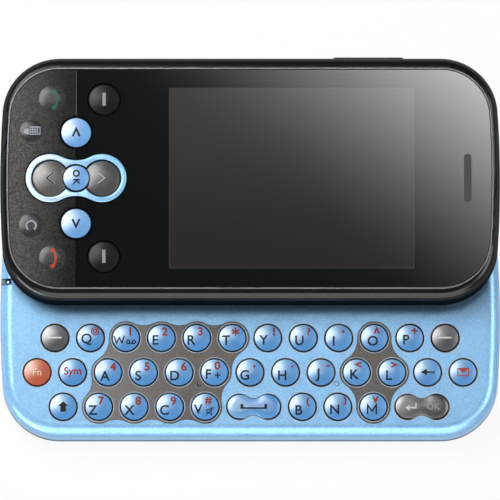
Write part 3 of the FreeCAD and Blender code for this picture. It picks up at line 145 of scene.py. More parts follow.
class Wire:
    """An output socket of a finish, which the signs of arithmetic join to numbers and other wires."""

    def __init__(self, finish, socket):
        self.finish = finish
        self.socket = socket

    def maths(self, operation, *values):
        return self.finish.add("Math", {"operation": operation}, dict(enumerate(values)))

    __add__, __radd__ = two_ways("ADD")
    __sub__, __rsub__ = two_ways("SUBTRACT")
    __mul__, __rmul__ = two_ways("MULTIPLY")
    __truediv__, __rtruediv__ = two_ways("DIVIDE")

    def __abs__(self):
        return self.maths("ABSOLUTE", self)

    def above(self, level, soft):
        """0 below the level and 1 above it, with a soft step between."""
        settings = {"interpolation_type": "SMOOTHSTEP", "clamp": True}
        ends = {"Value": self, "From Min": level - soft / 2, "From Max": level + soft / 2}
        return self.finish.add("MapRange", settings, ends)

    def below(self, level, soft):
        return 1 - self.above(level, soft)

    def most(self, other):
        return self.maths("MAXIMUM", self, other)

    def least(self, other):
        return self.maths("MINIMUM", self, other)


# %% A network of nodes, and the one way to add a node to it
class Network:
    """A tree of shader nodes."""

    def __init__(self, tree):
        self.tree = tree

    def feed(self, socket, value):
        if isinstance(value, Wire):
            self.tree.links.new(value.socket, socket)
        elif socket.type == "RGBA":
            socket.default_value = (*value, 1)
        else:
            socket.default_value = value

    def add(self, kind, settings=None, sockets=None, output=0):
        """Adds a node: its settings first, then its sockets' values or wires. Gives back one output."""
        node = self.tree.nodes.new("ShaderNode" + kind)
        for key, value in (settings or {}).items():
            if key == "stops":
                for number, (position, colour) in enumerate(value):
                    if number > 1:
                        node.color_ramp.elements.new(position)
                    node.color_ramp.elements[number].position = position
                    node.color_ramp.elements[number].color = (*colour, 1)
            else:
                setattr(node, key, value)
        for key, value in (sockets or {}).items():
            self.feed(node.inputs[key], value)
        return Wire(self, node.outputs[output])

    def mix(self, amount, first, second):
        """A colour between two colours."""
        sockets = {0: amount, 6: first, 7: second}
        return self.add("Mix", {"data_type": "RGBA"}, sockets, output=2)

    def split(self, vector):
        """The three parts of a vector, as wires."""
        outputs = self.add("SeparateXYZ", sockets={0: vector}).socket.node.outputs
        return [Wire(self, outputs[name]) for name in "XYZ"]


# %% A finish
class Finish(Network):
    """A material with one Principled shader, and the nodes that drive it."""

    def __init__(self, name, colour, roughness, **fixed):
        self.material = bpy.data.materials.new(name)
        self.material.use_nodes = True
        super().__init__(self.material.node_tree)
        self.shader = self.tree.nodes["Principled BSDF"]
        self.material.diffuse_color = (*colour, 1)
        self.drive("Base Color", colour)
        self.drive("Roughness", roughness)
        for socket, value in fixed.items():
            self.drive(socket.replace("_", " ").title().replace("Ior", "IOR"), value)
        self.place = self.add("TexCoord", output="Object")

    def drive(self, socket, value):
        self.feed(self.shader.inputs[socket], value)

    def axes(self):
        """The three coordinates of a point, in metres, as wires."""
        return self.split(self.place)

    def noise(self, size, detail=2.0, stretch=(1, 1, 1)):
        """Soft noise from 0 to 1 whose lumps are about this many metres wide."""
        scaled = self.add("Mapping", sockets={"Vector": self.place, "Scale": stretch})
        return self.add("TexNoise", sockets={"Vector": scaled, "Scale": 1 / size, "Detail": detail})

    def flakes(self, size):
        """A random brightness from 0 to 1 for each small cell."""
        sockets = {"Vector": self.place, "Scale": 1 / size}
        cells = self.add("TexVoronoi", {"feature": "F1"}, sockets, output="Color")
        return self.add("SeparateColor", sockets={0: cells})

    def bump(self, height, depth, strength=1.0):
        """Raises the surface by height, a wire from 0 to 1, times depth in metres."""
        sockets = {"Strength": strength, "Distance": depth, "Height": height}
        self.drive("Normal", self.add("Bump", sockets=sockets))


def tone(red, green, blue):
    """A colour as seen on a screen, 0 to 255, turned into the linear values that shaders use."""
    def linear(value):
        value /= 255
        return value / 12.92 if value <= 0.04045 else ((value + 0.055) / 1.055) ** 2.4
    return linear(red), linear(green), linear(blue)


# %% [markdown]
# ## Shapes from outlines
# Most small forms on a phone are flat outlines with rounded corners: inlays, printing, the
# ring round the direction pad. Two helpers make them. `scalloped` walks round a chain of
# discs and joins them with hollow arcs, which gives a peanut for two discs and a clover
# edge for many. `plate` fills outlines, with holes, through a flat curve object, because a
# curve fills holes and rounds its rim by itself.

# %% Outlines made of arcs
ARC_STEP = math.radians(7)


def arc(centre, radius, start, end):
    """Points along an arc, both ends included."""
    steps = max(1, math.ceil(abs(end - start) / ARC_STEP))
    angles = [start + (end - start) * i / steps for i in range(steps + 1)]
    return [(centre[0] + radius * math.cos(a), centre[1] + radius * math.sin(a)) for a in angles]


def circle(centre, radius):
    return arc(centre, radius, 0, 2 * math.pi)[:-1]


def block(left, low, width, height):
    """The four corners of an upright rectangle."""
    return [(left, low), (left + width, low), (left + width, low + height), (left, low + height)]


def scalloped(centres, radius, hollow):
    """The outline round discs given anticlockwise, joined on their outer side by hollow arcs."""
    points = []
    hollows = []
    for (x0, y0), (x1, y1) in zip(centres, centres[1:] + centres[:1]):
        apart = math.hypot(x1 - x0, y1 - y0)
        reach = math.sqrt((radius + hollow) ** 2 - (apart / 2) ** 2)
        out = ((y1 - y0) / apart, (x0 - x1) / apart)
        hollows.append(((x0 + x1) / 2 + out[0] * reach, (y0 + y1) / 2 + out[1] * reach))
    for i, (x, y) in enumerate(centres):
        before, after = hollows[i - 1], hollows[i]
        start = math.atan2(before[1] - y, before[0] - x)
        end = math.atan2(after[1] - y, after[0] - x)
        if end < start:
            end += 2 * math.pi
        points += arc((x, y), radius, start, end)[:-1]
        following = centres[(i + 1) % len(centres)]
        start = math.atan2(y - after[1], x - after[0])
        end = math.atan2(following[1] - after[1], following[0] - after[0])
        if end > start:
            end -= 2 * math.pi
        points += arc(after, hollow, start, end)[:-1]
    return points


def peanut(centre, radius, offset, waist):
    """The centres, radius and hollow of a peanut: two discs joined by a waist."""
    hollow = (offset ** 2 + waist ** 2 - radius ** 2) / (2 * (radius - waist))
    x, y = centre
    return [(x + offset, y), (x - offset, y)], radius, hollow


def stroke(points, width, closed=False):
    """The outline, or two outlines if closed, of a line of this width with mitred corners."""
    count = len(points)
    sides = ([], [])
    for i, (x, y) in enumerate(points):
        before = points[i - 1] if closed or i > 0 else None
        after = points[(i + 1) % count] if closed or i < count - 1 else None
        ways = []
        for a, b in ((before, (x, y)), ((x, y), after)):
            if a and b:
                length = math.hypot(b[0] - a[0], b[1] - a[1])
                ways.append(((b[0] - a[0]) / length, (b[1] - a[1]) / length))
        across = [(-dy, dx) for dx, dy in ways]
        nx = sum(n[0] for n in across) / len(across)
        ny = sum(n[1] for n in across) / len(across)
        square = nx * nx + ny * ny
        for side, sign in zip(sides, (0.5, -0.5)):
            side.append((x + nx / square * width * sign, y + ny / square * width * sign))
    if closed:
        return [sides[0], sides[1]]
    return [sides[0] + sides[1][::-1]]


# %% Meshes from outlines
def mesh_from(bm, name):
    """Turns an edit mesh into a mesh and frees it."""
    mesh = bpy.data.meshes.new(name)
    bm.to_mesh(mesh)
    bm.free()
    return mesh


def finished_mesh(name, mesh, finish, body, slot, smooth_angle=35):
    """Links a mesh as a piece, smooths it, and gives it its finish and its body. Its slot is not used."""
    mesh.materials.clear()
    mesh.materials.append(finish.material)
    mesh.polygons.foreach_set("use_smooth", [True] * len(mesh.polygons))
    mesh.set_sharp_from_angle(angle=math.radians(smooth_angle))
    piece = add_object(name, mesh)
    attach(piece, body)
    return piece


def filled(outlines, thickness, rim=0.0):
    """A mesh of outlines in mm, filled between its edges, centred on z = 0, with its rim rounded."""
    curve = bpy.data.curves.new("outline", "CURVE")
    curve.dimensions = "2D"
    curve.fill_mode = "BOTH"
    curve.extrude = thickness / 2 - rim
    curve.bevel_depth = rim
    curve.bevel_resolution = 3
    curve.offset = -rim
    for outline in outlines:
        spline = curve.splines.new("POLY")
        spline.points.add(len(outline) - 1)
        spline.use_cyclic_u = True
        for point, (x, y) in zip(spline.points, outline):
            point.co = (x, y, 0, 1)
    return curve_mesh(curve)


def curve_mesh(curve):
    """A curve or text drawn with one unit for a mm, turned into a mesh in metres."""
    holder = add_object("holder", curve)
    depsgraph = bpy.context.evaluated_depsgraph_get()
    mesh = bpy.data.meshes.new_from_object(holder.evaluated_get(depsgraph))
    bpy.data.objects.remove(holder)
    bpy.data.curves.remove(curve)
    mesh.transform(Matrix.Scale(MM, 4))
    weld(mesh)
    return mesh


def weld(mesh):
    bm = bmesh.new()
    bm.from_mesh(mesh)
    bmesh.ops.remove_doubles(bm, verts=bm.verts, dist=0.0005 * MM)
    bm.to_mesh(mesh)
    bm.free()


def plate(name, outlines, low, high, finish, body, slot, rim=0.0):
    """A flat piece between two heights in mm, from outlines in mm."""
    mesh = filled(outlines, high - low, rim)
    for vertex in mesh.vertices:
        vertex.co.z += (low + high) / 2 * MM
    return finished_mesh(name, mesh, finish, body, slot)


# %% [markdown]
# ## Domed caps
# Every key is a low dome with a soft shoulder that stands in a round hole. The dome matters
# more than anything else here: a soft light from the upper left slides over it and leaves
# the lower right deep in colour. Each cap is built ring by ring from its outline, drawn in
# a little more for each ring, so that the same code makes round and peanut caps.

# %% Rings of a domed cap
EDGE_ROUND = 0.16
EDGE_STEPS = 4
CROWN_RINGS = 9
CAP_DEPTH = 0.9
MIDDLE_SHARE = 0.97


def rounded_edge(navy_foot_and_shade):
    """(inwards, height) of the steps of a rounded edge that starts at a height."""
    for step in range(EDGE_STEPS + 1):
        turn = math.radians(90) * step / EDGE_STEPS
        yield EDGE_ROUND * (1 - math.cos(turn)), navy_foot_and_shade + EDGE_ROUND * math.sin(turn)


class Dome:
    """The upper surface of a key: its middle, its height at any point, and its rings. The higher
    its power is, the more of its fall lies near the rim."""

    def __init__(self, centre, top, radius, crown, offset=0.0, waist=0.0, power=2):
        self.centre = centre
        self.top = top
        self.radius = radius
        self.crown = crown
        self.offset = offset
        self.waist = waist
        self.power = power
        self.reach = waist if offset else radius

    def outline(self, inwards):
        """The cap's outline in mm, drawn in by a distance."""
        if not self.offset:
            return circle(self.centre, self.radius - inwards)
        centres, radius, hollow = peanut(self.centre, self.radius, self.offset, self.waist)
        return scalloped(centres, radius - inwards, hollow + inwards)

    def height_inside(self, inwards):
        share = min(inwards / self.reach, 1)
        return self.top - self.crown * (1 - share) ** self.power

    def height(self, x, y):
        """The height at a point given from the cap's middle, in mm."""
        inwards = self.radius - math.hypot(abs(x) - self.offset, y)
        if self.offset:
            hollow = peanut(self.centre, self.radius, self.offset, self.waist)[2]
            middle_of_hollow = self.waist + hollow
            if abs(x) * middle_of_hollow < self.offset * (middle_of_hollow - abs(y)):
                inwards = math.hypot(x, middle_of_hollow - abs(y)) - hollow
        return self.height_inside(max(inwards, 0))

    def rings(self):
        """(inwards, height) of each ring, from the foot of the wall to the middle."""
        shoulder = self.height_inside(EDGE_ROUND) - EDGE_ROUND
        yield 0, shoulder - CAP_DEPTH
        yield from rounded_edge(shoulder)
        last = self.reach * MIDDLE_SHARE
        for step in range(1, CROWN_RINGS + 1):
            inwards = EDGE_ROUND + (last - EDGE_ROUND) * step / CROWN_RINGS
            yield inwards, self.height_inside(inwards)


def ring_mesh(name, rings):
    """A closed mesh from rings of points in mm, from the foot of its wall to the middle of its top."""
    bm = bmesh.new()
    loops = [[bm.verts.new([value * MM for value in point]) for point in ring] for ring in rings]
    for lower, upper in zip(loops, loops[1:]):
        for i in range(len(lower)):
            j = (i + 1) % len(lower)
            bm.faces.new((lower[i], lower[j], upper[j], upper[i]))
    bm.faces.new(loops[-1])
    bm.faces.new(loops[0][::-1])
    bmesh.ops.recalc_face_normals(bm, faces=bm.faces[:])
    return mesh_from(bm, name)


def dome_mesh(dome):
    return ring_mesh("cap", [[(x, y, height) for x, y in dome.outline(inwards)]
                             for inwards, height in dome.rings()])


# %% [markdown]
# ## Printing on a dome
# Letters and signs are inked on the caps. Painting them with a mask needs a picture, which
# this model doesn't use, so they are thin solids. Text and outlines start flat, are sliced
# by a fine grid so that they can bend, and are then laid on the dome's own height formula.

# %% Ink that follows a dome
INK_LIFT = 0.012
INK_DEPTH = 0.03
SLICE = 0.35
CAPITALS_IN_SIZE = 1.37


def text_mesh(text, size, bold=0.0):
    """Flat text centred on its middle. Size is the height of a capital, in mm."""
    curve = bpy.data.curves.new("text", "FONT")
    curve.body = text
    curve.align_x = "CENTER"
    curve.size = size * CAPITALS_IN_SIZE
    curve.offset = bold
    mesh = curve_mesh(curve)
    xs = [v.co.x for v in mesh.vertices]
    ys = [v.co.y for v in mesh.vertices]
    middle = Vector(((min(xs) + max(xs)) / 2, (min(ys) + max(ys)) / 2, 0))
    for vertex in mesh.vertices:
        vertex.co -= middle
    return mesh


def placed(mesh, x, y, turn=0.0, squeeze=1.0):
    """Moves a flat mesh to a point in mm, after squeezing its width and turning it clockwise by degrees."""
    cos, sin = math.cos(math.radians(turn)), math.sin(math.radians(turn))
    for vertex in mesh.vertices:
        across, up = vertex.co.x * squeeze, vertex.co.y
        vertex.co.x = x * MM + across * cos + up * sin
        vertex.co.y = y * MM - across * sin + up * cos
    return mesh


def sign_mesh(outlines):
    """Flat outlines in mm as a mesh without thickness."""
    return filled(outlines, 0)


def print_on(name, meshes, centre, height, finish, body, slot):
    """Joins flat meshes, slices them, lays them on a surface and gives them the thickness of ink."""
    bm = bmesh.new()
    for mesh in meshes:
        bm.from_mesh(mesh)
        bpy.data.meshes.remove(mesh)
    bmesh.ops.remove_doubles(bm, verts=bm.verts, dist=0.0005 * MM)
    for axis in (0, 1):
        low = min(v.co[axis] for v in bm.verts) / MM
        high = max(v.co[axis] for v in bm.verts) / MM
        for step in range(math.ceil(low / SLICE), math.floor(high / SLICE) + 1):
            point, normal = Vector(), Vector()
            point[axis] = step * SLICE * MM
            normal[axis] = 1
            everything = bm.verts[:] + bm.edges[:] + bm.faces[:]
            bmesh.ops.bisect_plane(bm, geom=everything, plane_co=point, plane_no=normal)
    for face in bm.faces:
        face.normal_update()
        if face.normal.z < 0:
            face.normal_flip()
    for vertex in bm.verts:
        x, y = vertex.co.x / MM, vertex.co.y / MM
        vertex.co.z = (height(x, y) + INK_LIFT) * MM
    grown = bmesh.ops.extrude_face_region(bm, geom=bm.faces[:])
    top = set(bm.verts) - {v for v in grown["geom"] if isinstance(v, bmesh.types.BMVert)}
    for vertex in top:
        vertex.co.z -= INK_DEPTH * MM
    bmesh.ops.recalc_face_normals(bm, faces=bm.faces[:])
    for vertex in bm.verts:
        vertex.co.x += centre[0] * MM
        vertex.co.y += centre[1] * MM
    return finished_mesh(name, mesh_from(bm, name), finish, body, slot, smooth_angle=40)


# %% [markdown]
# ## Finishes of the lower half
# The keyboard plate is a pale blue metallic paint: tiny flakes in the paint tilt this way
# and that, so the finish has specks that differ a little in brightness and tilt under a
# clear coat. The shell below is navy plastic with a fine satin grain.

# %% Metallic paint
def metallic_paint(name, colour, flake=0.22, roughness=0.36, metallic=0.42):
    paint = Finish(name, colour, roughness, specular_ior_level=0.3, coat_weight=0.3, coat_roughness=0.26)
    specks = paint.flakes(flake * MM)
    clouds = paint.noise(9 * MM)
    dark = tuple(c * 0.86 for c in colour)
    bright = tuple(min(c * 1.16 + 0.02, 1) for c in colour)
    paint.shade = paint.mix(specks * 0.75 + clouds * 0.25, dark, bright)
    paint.drive("Base Color", paint.shade)
    paint.drive("Metallic", specks * 0.25 + (metallic - 0.12))
    paint.drive("Roughness", specks * 0.14 + (roughness - 0.07))
    paint.bump(specks, 0.004 * MM, 0.5)
    return paint


# %% Moulded plastic
def moulded_plastic(name, colour, roughness, grain=0.25, depth=0.006, **fixed):
    """Plastic from a mould with a fine spark-eroded grain, a little uneven in gloss."""
    plastic = Finish(name, colour, roughness, **fixed)
    fine = plastic.noise(grain * MM, 3)
    broad = plastic.noise(14 * MM)
    lighter = tuple(c * 1.25 + 0.002 for c in colour)
    plastic.drive("Base Color", plastic.mix(fine * 0.5 + broad * 0.5, colour, lighter))
    plastic.drive("Roughness", roughness - 0.06 + fine * 0.08 + broad * 0.06)
    plastic.bump(fine, depth * MM)
    return plastic


# %% Metal
def brushed_metal(name, colour, roughness, stretch=(0.04, 1, 1)):
    metal = Finish(name, colour, roughness, metallic=1.0)
    lines = metal.noise(0.12 * MM, 3, stretch)
    darker = tuple(c * 0.78 for c in colour)
    metal.drive("Base Color", metal.mix(lines, darker, colour))
    metal.drive("Roughness", roughness - 0.08 + lines * 0.16)
    metal.bump(lines, 0.003 * MM)
    return metal


PALE_BLUE, NAVY = tone(142, 197, 246), tone(20, 32, 52)
plate_finish = metallic_paint("pale_blue_metallic", PALE_BLUE, metallic=0.26)
x, y, z = plate_finish.axes()
# Painted navy below FOOT_TOP: partly the cover's navy foot, partly painted shade where its edge turns under
# towards the table.
FOOT_TOP, FOOT_FADE = 3.4, 0.4
navy_foot_and_shade = z.below(FOOT_TOP * MM, FOOT_FADE * MM)
plate_finish.drive("Base Color", plate_finish.mix(navy_foot_and_shade, plate_finish.shade, NAVY))
shell_finish = moulded_plastic("navy_satin_plastic", tone(24, 34, 52), 0.5, specular_ior_level=0.04)
cover_finish = moulded_plastic("back_cover_plastic", tone(44, 72, 110), 0.48, grain=0.35, depth=0.012)
steel_finish = brushed_metal("slide_steel_finish", tone(178, 178, 180), 0.32)
spring_finish = brushed_metal("spring_wire_finish", tone(190, 190, 190), 0.25, (1, 1, 0.1))
screw_finish = brushed_metal("blackened_screw_finish", tone(120, 120, 122), 0.35, (1, 1, 1))

# %% [markdown]
# ## Finishes of the upper half
# The upper shell is smooth near-black plastic; its steep lower wall is painted matt and
# darker, a painted shade for the dark band under its edge. The window is black glass-like
# plastic: it takes its look from what it mirrors, so it is dark and glossy, with a faintly
# lighter rectangle where the display lies behind it, painted lighter towards its top as a
# painted sheen. The strip left of the seam is charcoal with fine speckle, and is painted
# darker towards the seam where it meets the window: a painted shade.

# %% The upper shell
upper_shell_finish = moulded_plastic("upper_shell_black", tone(17, 17, 18), 0.22, grain=0.5, depth=0.001,
                                     specular_ior_level=0.3)
x, y, z = upper_shell_finish.axes()
# Painted shade: below MATT_TOP the lower wall turns into a darker matt that mirrors nothing, for the dark
# band under the upper half.
matt = upper_shell_finish.add("BsdfDiffuse", sockets={"Color": tone(9, 11, 13)})
glossy = Wire(upper_shell_finish, upper_shell_finish.shader.outputs[0])
MATT_TOP, MATT_FADE, MATT_SHARE = 15.1, 1.4, 0.93
matt_shade_share = z.below(MATT_TOP * MM, MATT_FADE * MM) * MATT_SHARE
both = upper_shell_finish.add("MixShader", sockets={0: matt_shade_share, 1: glossy, 2: matt})
upper_shell_finish.feed(upper_shell_finish.tree.nodes["Material Output"].inputs["Surface"], both)

# %% The window with its display behind
SCREEN_LEFT, SCREEN_RIGHT = -16.45, 33.35
SCREEN_HALF_HEIGHT = 18.675
SCREEN_BORDER = 0.3
window_low, window_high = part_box("display_window")
window_middle_y = (window_low.y + window_high.y) / 2 / MM


def inside_box(finish, left, right, bottom, top, soft):
    """1 inside an upright rectangle given in mm, and 0 outside."""
    x, y, z = finish.axes()
    across = x.above(left * MM, soft * MM) * x.below(right * MM, soft * MM)
    return across * y.above(bottom * MM, soft * MM) * y.below(top * MM, soft * MM)


def window_glass():
    """Black glossy plastic with the display's paler layers under it, painted palest along their upper edge as
    a painted sheen.
    """
    black, line_grey = tone(5, 6, 6), tone(62, 59, 56)
    glass = Finish("window_black", black, 0.05, specular_ior_level=0.4)
    low, high = window_middle_y - SCREEN_HALF_HEIGHT, window_middle_y + SCREEN_HALF_HEIGHT
    screen = inside_box(glass, SCREEN_LEFT, SCREEN_RIGHT, low, high, 0.12)
    panel = inside_box(glass, SCREEN_LEFT + SCREEN_BORDER, SCREEN_RIGHT - SCREEN_BORDER,
                       low + SCREEN_BORDER, high - SCREEN_BORDER, 0.1)
    smudges = glass.noise(11 * MM, 4)
    x, y, z = glass.axes()
    # Painted sheen: the display's grey is painted lighter towards its top.
    upwards = y.above((low + high) / 2 * MM, (high - low) * MM)
    panel_grey_and_sheen = glass.mix(upwards, tone(41, 38, 36), tone(60, 56, 53))
    base = glass.mix(screen, black, panel_grey_and_sheen)
    glass.drive("Base Color", glass.mix((screen - panel) * 0.6, base, line_grey))
    glass.drive("Roughness", 0.045 + smudges * 0.02)
    return glass


window_finish = window_glass()


# %% The speckled strip
def speckled(name, colour, speck_colour, roughness, size=0.2, share=0.5, soft=0.7, depth=0.006, **fixed):
    """Plastic with fine flecks: the share of cells below which there is none, how softly they set in,
    and how deep the surface is dented by them in mm."""
    finish = Finish(name, colour, roughness, **fixed)
    specks = finish.flakes(size * MM)
    lit = specks.above(share, soft)
    finish.shade = finish.mix(lit, colour, speck_colour)
    finish.drive("Base Color", finish.shade)
    finish.drive("Roughness", roughness - lit * 0.08 + finish.noise(8 * MM) * 0.06)
    finish.bump(specks, depth * MM)
    return finish


def speckled_strip():
    """Charcoal with fine flecks, painted darker from the phone's end towards the seam as a painted shade."""
    finish = Finish("charcoal_speckle", tone(40, 40, 41), 0.22, specular_ior_level=0.14)
    low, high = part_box("side_key_panel")
    x, y, z = finish.axes()
    shade_towards_seam = x.above((low.x + high.x) / 2, high.x - low.x)
    colour = finish.mix(shade_towards_seam, tone(70, 69, 68), tone(10, 11, 12))
    flecks = finish.flakes(0.25 * MM)
    fleck_colour = finish.mix(shade_towards_seam, tone(100, 96, 94), tone(30, 30, 31))
    finish.drive("Base Color", finish.mix(flecks.above(0.5, 0.8), colour, fleck_colour))
    finish.drive("Roughness", 0.24 - flecks * 0.06)
    finish.bump(flecks, 0.006 * MM)
    return finish


panel_finish = speckled_strip()
rim_finish = brushed_metal("rim_polished", tone(134, 132, 134), 0.3)
ring_finish = metallic_paint("ring_light_blue", tone(138, 190, 230), 0.12, 0.36, 0.5)
x, y, z = ring_finish.axes()
# Painted highlight: the band is painted paler towards its left end, where the lamp falls on it.
ring_painted_light = x.below(-38 * MM, 16 * MM) * 0.8
ring_finish.drive("Base Color", ring_finish.mix(ring_painted_light, ring_finish.shade, tone(226, 242, 252)))

# %% [markdown]
# ## Inner pieces
# The boards, the battery and the ribbon are mostly out of sight, yet the part is looked at
# with its halves apart and its cover off, so each has the finish that it really has: green
# solder mask with copper lines, a plain dark wrap, amber film with conductor lines.


# %% Boards, battery, ribbon and lens
def circuit_board(name, mask, trace):
    board = Finish(name, mask, 0.38, coat_weight=0.3, coat_roughness=0.2)
    settings = {"offset": 0.5, "squash": 1.0}
    sockets = {"Vector": board.place, "Scale": 1 / (2.2 * MM), "Mortar Size": 0.06, "Brick Width": 1.6,
               "Row Height": 0.7, "Color1": (0, 0, 0), "Color2": (0, 0, 0), "Mortar": (1, 1, 1)}
    lines = board.add("TexBrick", settings, sockets, output="Fac")
    broken = lines * board.noise(5 * MM).above(0.5, 0.1)
    board.drive("Base Color", board.mix(broken, mask, trace))
    board.bump(broken, 0.02 * MM)
    return board


def ribbon_film():
    film = Finish("amber_film", tone(196, 116, 40), 0.3, coat_weight=0.4)
    x, y, z = film.axes()
    lines = film.add("Math", {"operation": "SINE"}, {0: x * (2 * math.pi / (0.8 * MM))})
    film.drive("Base Color", film.mix(lines.above(0.1, 0.3), tone(196, 116, 40), tone(140, 66, 22)))
    film.bump(lines, 0.01 * MM)
    return film


board_finish = circuit_board("green_board", tone(18, 84, 50), tone(74, 132, 84))
display_finish = circuit_board("display_module_dark", tone(40, 41, 43), tone(70, 70, 72))
battery_finish = moulded_plastic("battery_wrap_dark", tone(58, 60, 64), 0.5, grain=0.6)
lens_finish = moulded_plastic("lens_black", tone(14, 14, 18), 0.08, depth=0.0, coat_weight=0.5)
ribbon_finish = ribbon_film()
rocker_finish = moulded_plastic("rocker_black", tone(26, 26, 27), 0.3)

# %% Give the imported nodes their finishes
NODE_FINISHES = {
    "lower_housing": shell_finish, "keyboard_cover": plate_finish, "battery_cover": cover_finish,
    "upper_housing": upper_shell_finish, "display_window": window_finish,
    "face_rim": rim_finish, "slide_carriage": steel_finish,
    "slide_rail_plate": steel_finish, "slide_springs": spring_finish, "housing_screws": screw_finish,
    "main_board": board_finish, "display_board": display_finish, "battery": battery_finish,
    "camera_unit": lens_finish, "flex_cable": ribbon_finish, "volume_rocker": rocker_finish,
}
for node, finish in NODE_FINISHES.items():
    frame["nodes"][node].material_slots[0].material = finish.material
print("nodes with a finish of their own:", len(NODE_FINISHES))

# %% [markdown]
# ## Key plastics
# The caps are tinted, polished plastic. Each colour is painted darker over the last part of
# its radius, a painted shade for the dark gap round the cap, and paler towards the cap's
# upper left, a painted highlight beside the lamp's own. The coat gives the wet highlight.


# %% A cap's plastic
def cap_plastic(name, body_colour, shaded_rim_colour, coat_and_highlight, centre, radius, offset=0.0, roughness=0.42):
    """Satin plastic of a round or peanut cap under a pearly coat, with painted shade near its rim and a
    painted highlight towards its upper left.
    """
    plastic = Finish(name, body_colour, roughness, specular_ior_level=0.1, coat_roughness=0.32, coat_ior=2.25)
    x, y, z = plastic.axes()
    across = abs(x - centre[0] * MM) - offset * MM
    if offset:
        across = across.most(0)
    squares = across * across + (y - centre[1] * MM) * (y - centre[1] * MM)
    away = squares.maths("SQRT", squares) / (radius * MM)
    specks = plastic.flakes(0.14 * MM)
    tint = plastic.mix(specks * 0.7, body_colour, tuple(min(c * 1.16, 1) for c in body_colour))
    # Painted highlight: the colour turns paler towards the cap's upper left.
    highlight_slope = ((y - centre[1] * MM) - (x - centre[0] * MM)) / ((radius + offset) * MM)
    painted_highlight_colour = tuple(c + (c ** 0.15 - c) * 0.42 for c in body_colour)
    tint = plastic.mix(highlight_slope.above(0.35, 2.1) * coat_and_highlight, tint, painted_highlight_colour)
    # Painted shade: the last part of the radius turns dark, for the gap round the cap.
    rim = away.above(0.925, 0.05)
    plastic.drive("Base Color", plastic.mix(rim, tint, shaded_rim_colour))
    plastic.drive("Coat Weight", coat_and_highlight - rim * coat_and_highlight)
    plastic.drive("Roughness", roughness - 0.03 + specks * 0.06)
    return plastic


# Each plastic: its colour, the dark colour painted at its rim as shade, and the weight of its coat and of its
# painted highlight.
KEY_TONES = {
    "blue_key": (tone(28, 140, 214), tone(4, 18, 36), 1.0),
    "grey_key": (tone(50, 55, 62), tone(9, 11, 15), 0.82),
    "orange_key": (tone(190, 72, 10), tone(50, 16, 5), 0.62),
    "dark_key": (tone(36, 34, 36), tone(7, 7, 8), 0.9),
    "black_key": (tone(12, 12, 13), tone(4, 4, 4), 0.08),
}


# %% [markdown]
# ## The keyboard's caps
# Each key is a body of its own, because it can be pressed by itself. A loop reads every
# key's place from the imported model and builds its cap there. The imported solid, with its
# flange, stays for the motion and is not shown.

# %% Build the keyboard's caps
KEY_RADIUS = 2.85
KEY_CROWN, WIDE_CROWN = 0.46, 0.32
WIDE_RADIUS, WIDE_OFFSET, WIDE_WAIST = 2.6, 2.9, 1.63
WIDE_KEYS = ("key_space", "key_enter")
KEY_SLOTS = {sub["node"]: sub["material_slot"] for sub in frame["record"]["subparts"]}
domes = {}


def middle(node):
    """The middle of a node's box, in mm."""
    low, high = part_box(node)
    centre = (low + high) / 2 / MM
    return centre.x, centre.y


def build_cap(node, dome, slot, colours=None):
    """Shows a key by a dome in a plastic of its own, or in other colours than its slot's."""
    colours = colours or KEY_TONES[slot]
    finish = cap_plastic(f"{node}_plastic", *colours, dome.centre, dome.radius, dome.offset)
    cap = finished_mesh(f"{node}_cap", dome_mesh(dome), finish, node, slot, 50)
    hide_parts(node)
    domes[node] = dome


keyboard_keys = [name for name in frame["bodies"] if name.startswith("key_")]
for node in keyboard_keys:
    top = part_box(node)[1].z / MM
    if node in WIDE_KEYS:
        dome = Dome(middle(node), top, WIDE_RADIUS, WIDE_CROWN, WIDE_OFFSET, WIDE_WAIST)
    else:
        dome = Dome(middle(node), top, KEY_RADIUS, KEY_CROWN)
    build_cap(node, dome, KEY_SLOTS[node])
print("keyboard caps:", len(keyboard_keys))

# %% [markdown]
# ## The front keys
# Four round keys lie on the seam and beside it. The ring holds three more: the middle one
# is round, and the two beside it are discs that the middle one bites into.

# %% Build the front caps
FRONT_RADIUS = 3.2
FRONT_CROWN = 0.5
OK_RADIUS = 2.75
SIDE_RADIUS = 3.65
RING_OFFSET = 5.25
FRONT_GAP = 0.2
OK_ROOM = OK_RADIUS + FRONT_GAP
SLICE_RINGS = 10
# Colour, painted rim shade, and coat with painted highlight, as for the keyboard keys.
NAV_TONES = (tone(92, 164, 228), tone(4, 18, 36), 0.86)
SOFT_KEYS = ("front_soft_upper", "front_soft_lower")
ROUND_FRONT_KEYS = SOFT_KEYS + ("nav_up", "nav_down")
seam = middle("nav_ok")

for node in ROUND_FRONT_KEYS:
    dome = Dome(middle(node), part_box(node)[1].z / MM, FRONT_RADIUS, FRONT_CROWN)
    build_cap(node, dome, KEY_SLOTS[node], NAV_TONES if node.startswith("nav") else None)
build_cap("nav_ok", Dome(seam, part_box("nav_ok")[1].z / MM, OK_RADIUS, FRONT_CROWN), "blue_key", NAV_TONES)


def side_centre(side):
    """The middle of the ring's left lobe for -1, and of its right one for 1."""
    return seam[0] + side * RING_OFFSET, seam[1]


def meeting(radius):
    """Where a circle round a lobe's middle crosses the middle key's room: the angle at the lobe's
    middle and the angle at the room's, both from the line that joins them."""
    meet_x = (RING_OFFSET ** 2 + OK_ROOM ** 2 - radius ** 2) / (2 * RING_OFFSET)
    return math.acos((RING_OFFSET - meet_x) / radius), math.acos(meet_x / OK_ROOM)


def crescent(side):
    """The outline of a side key: a disc that the middle key's room is cut out of."""
    half, bite = meeting(SIDE_RADIUS)
    inwards, outwards = (math.pi, 0) if side > 0 else (0, math.pi)
    outer = arc(side_centre(side), SIDE_RADIUS, inwards + half, inwards + 2 * math.pi - half)
    return outer + arc(seam, OK_ROOM, outwards - bite, outwards + bite)[1:-1]


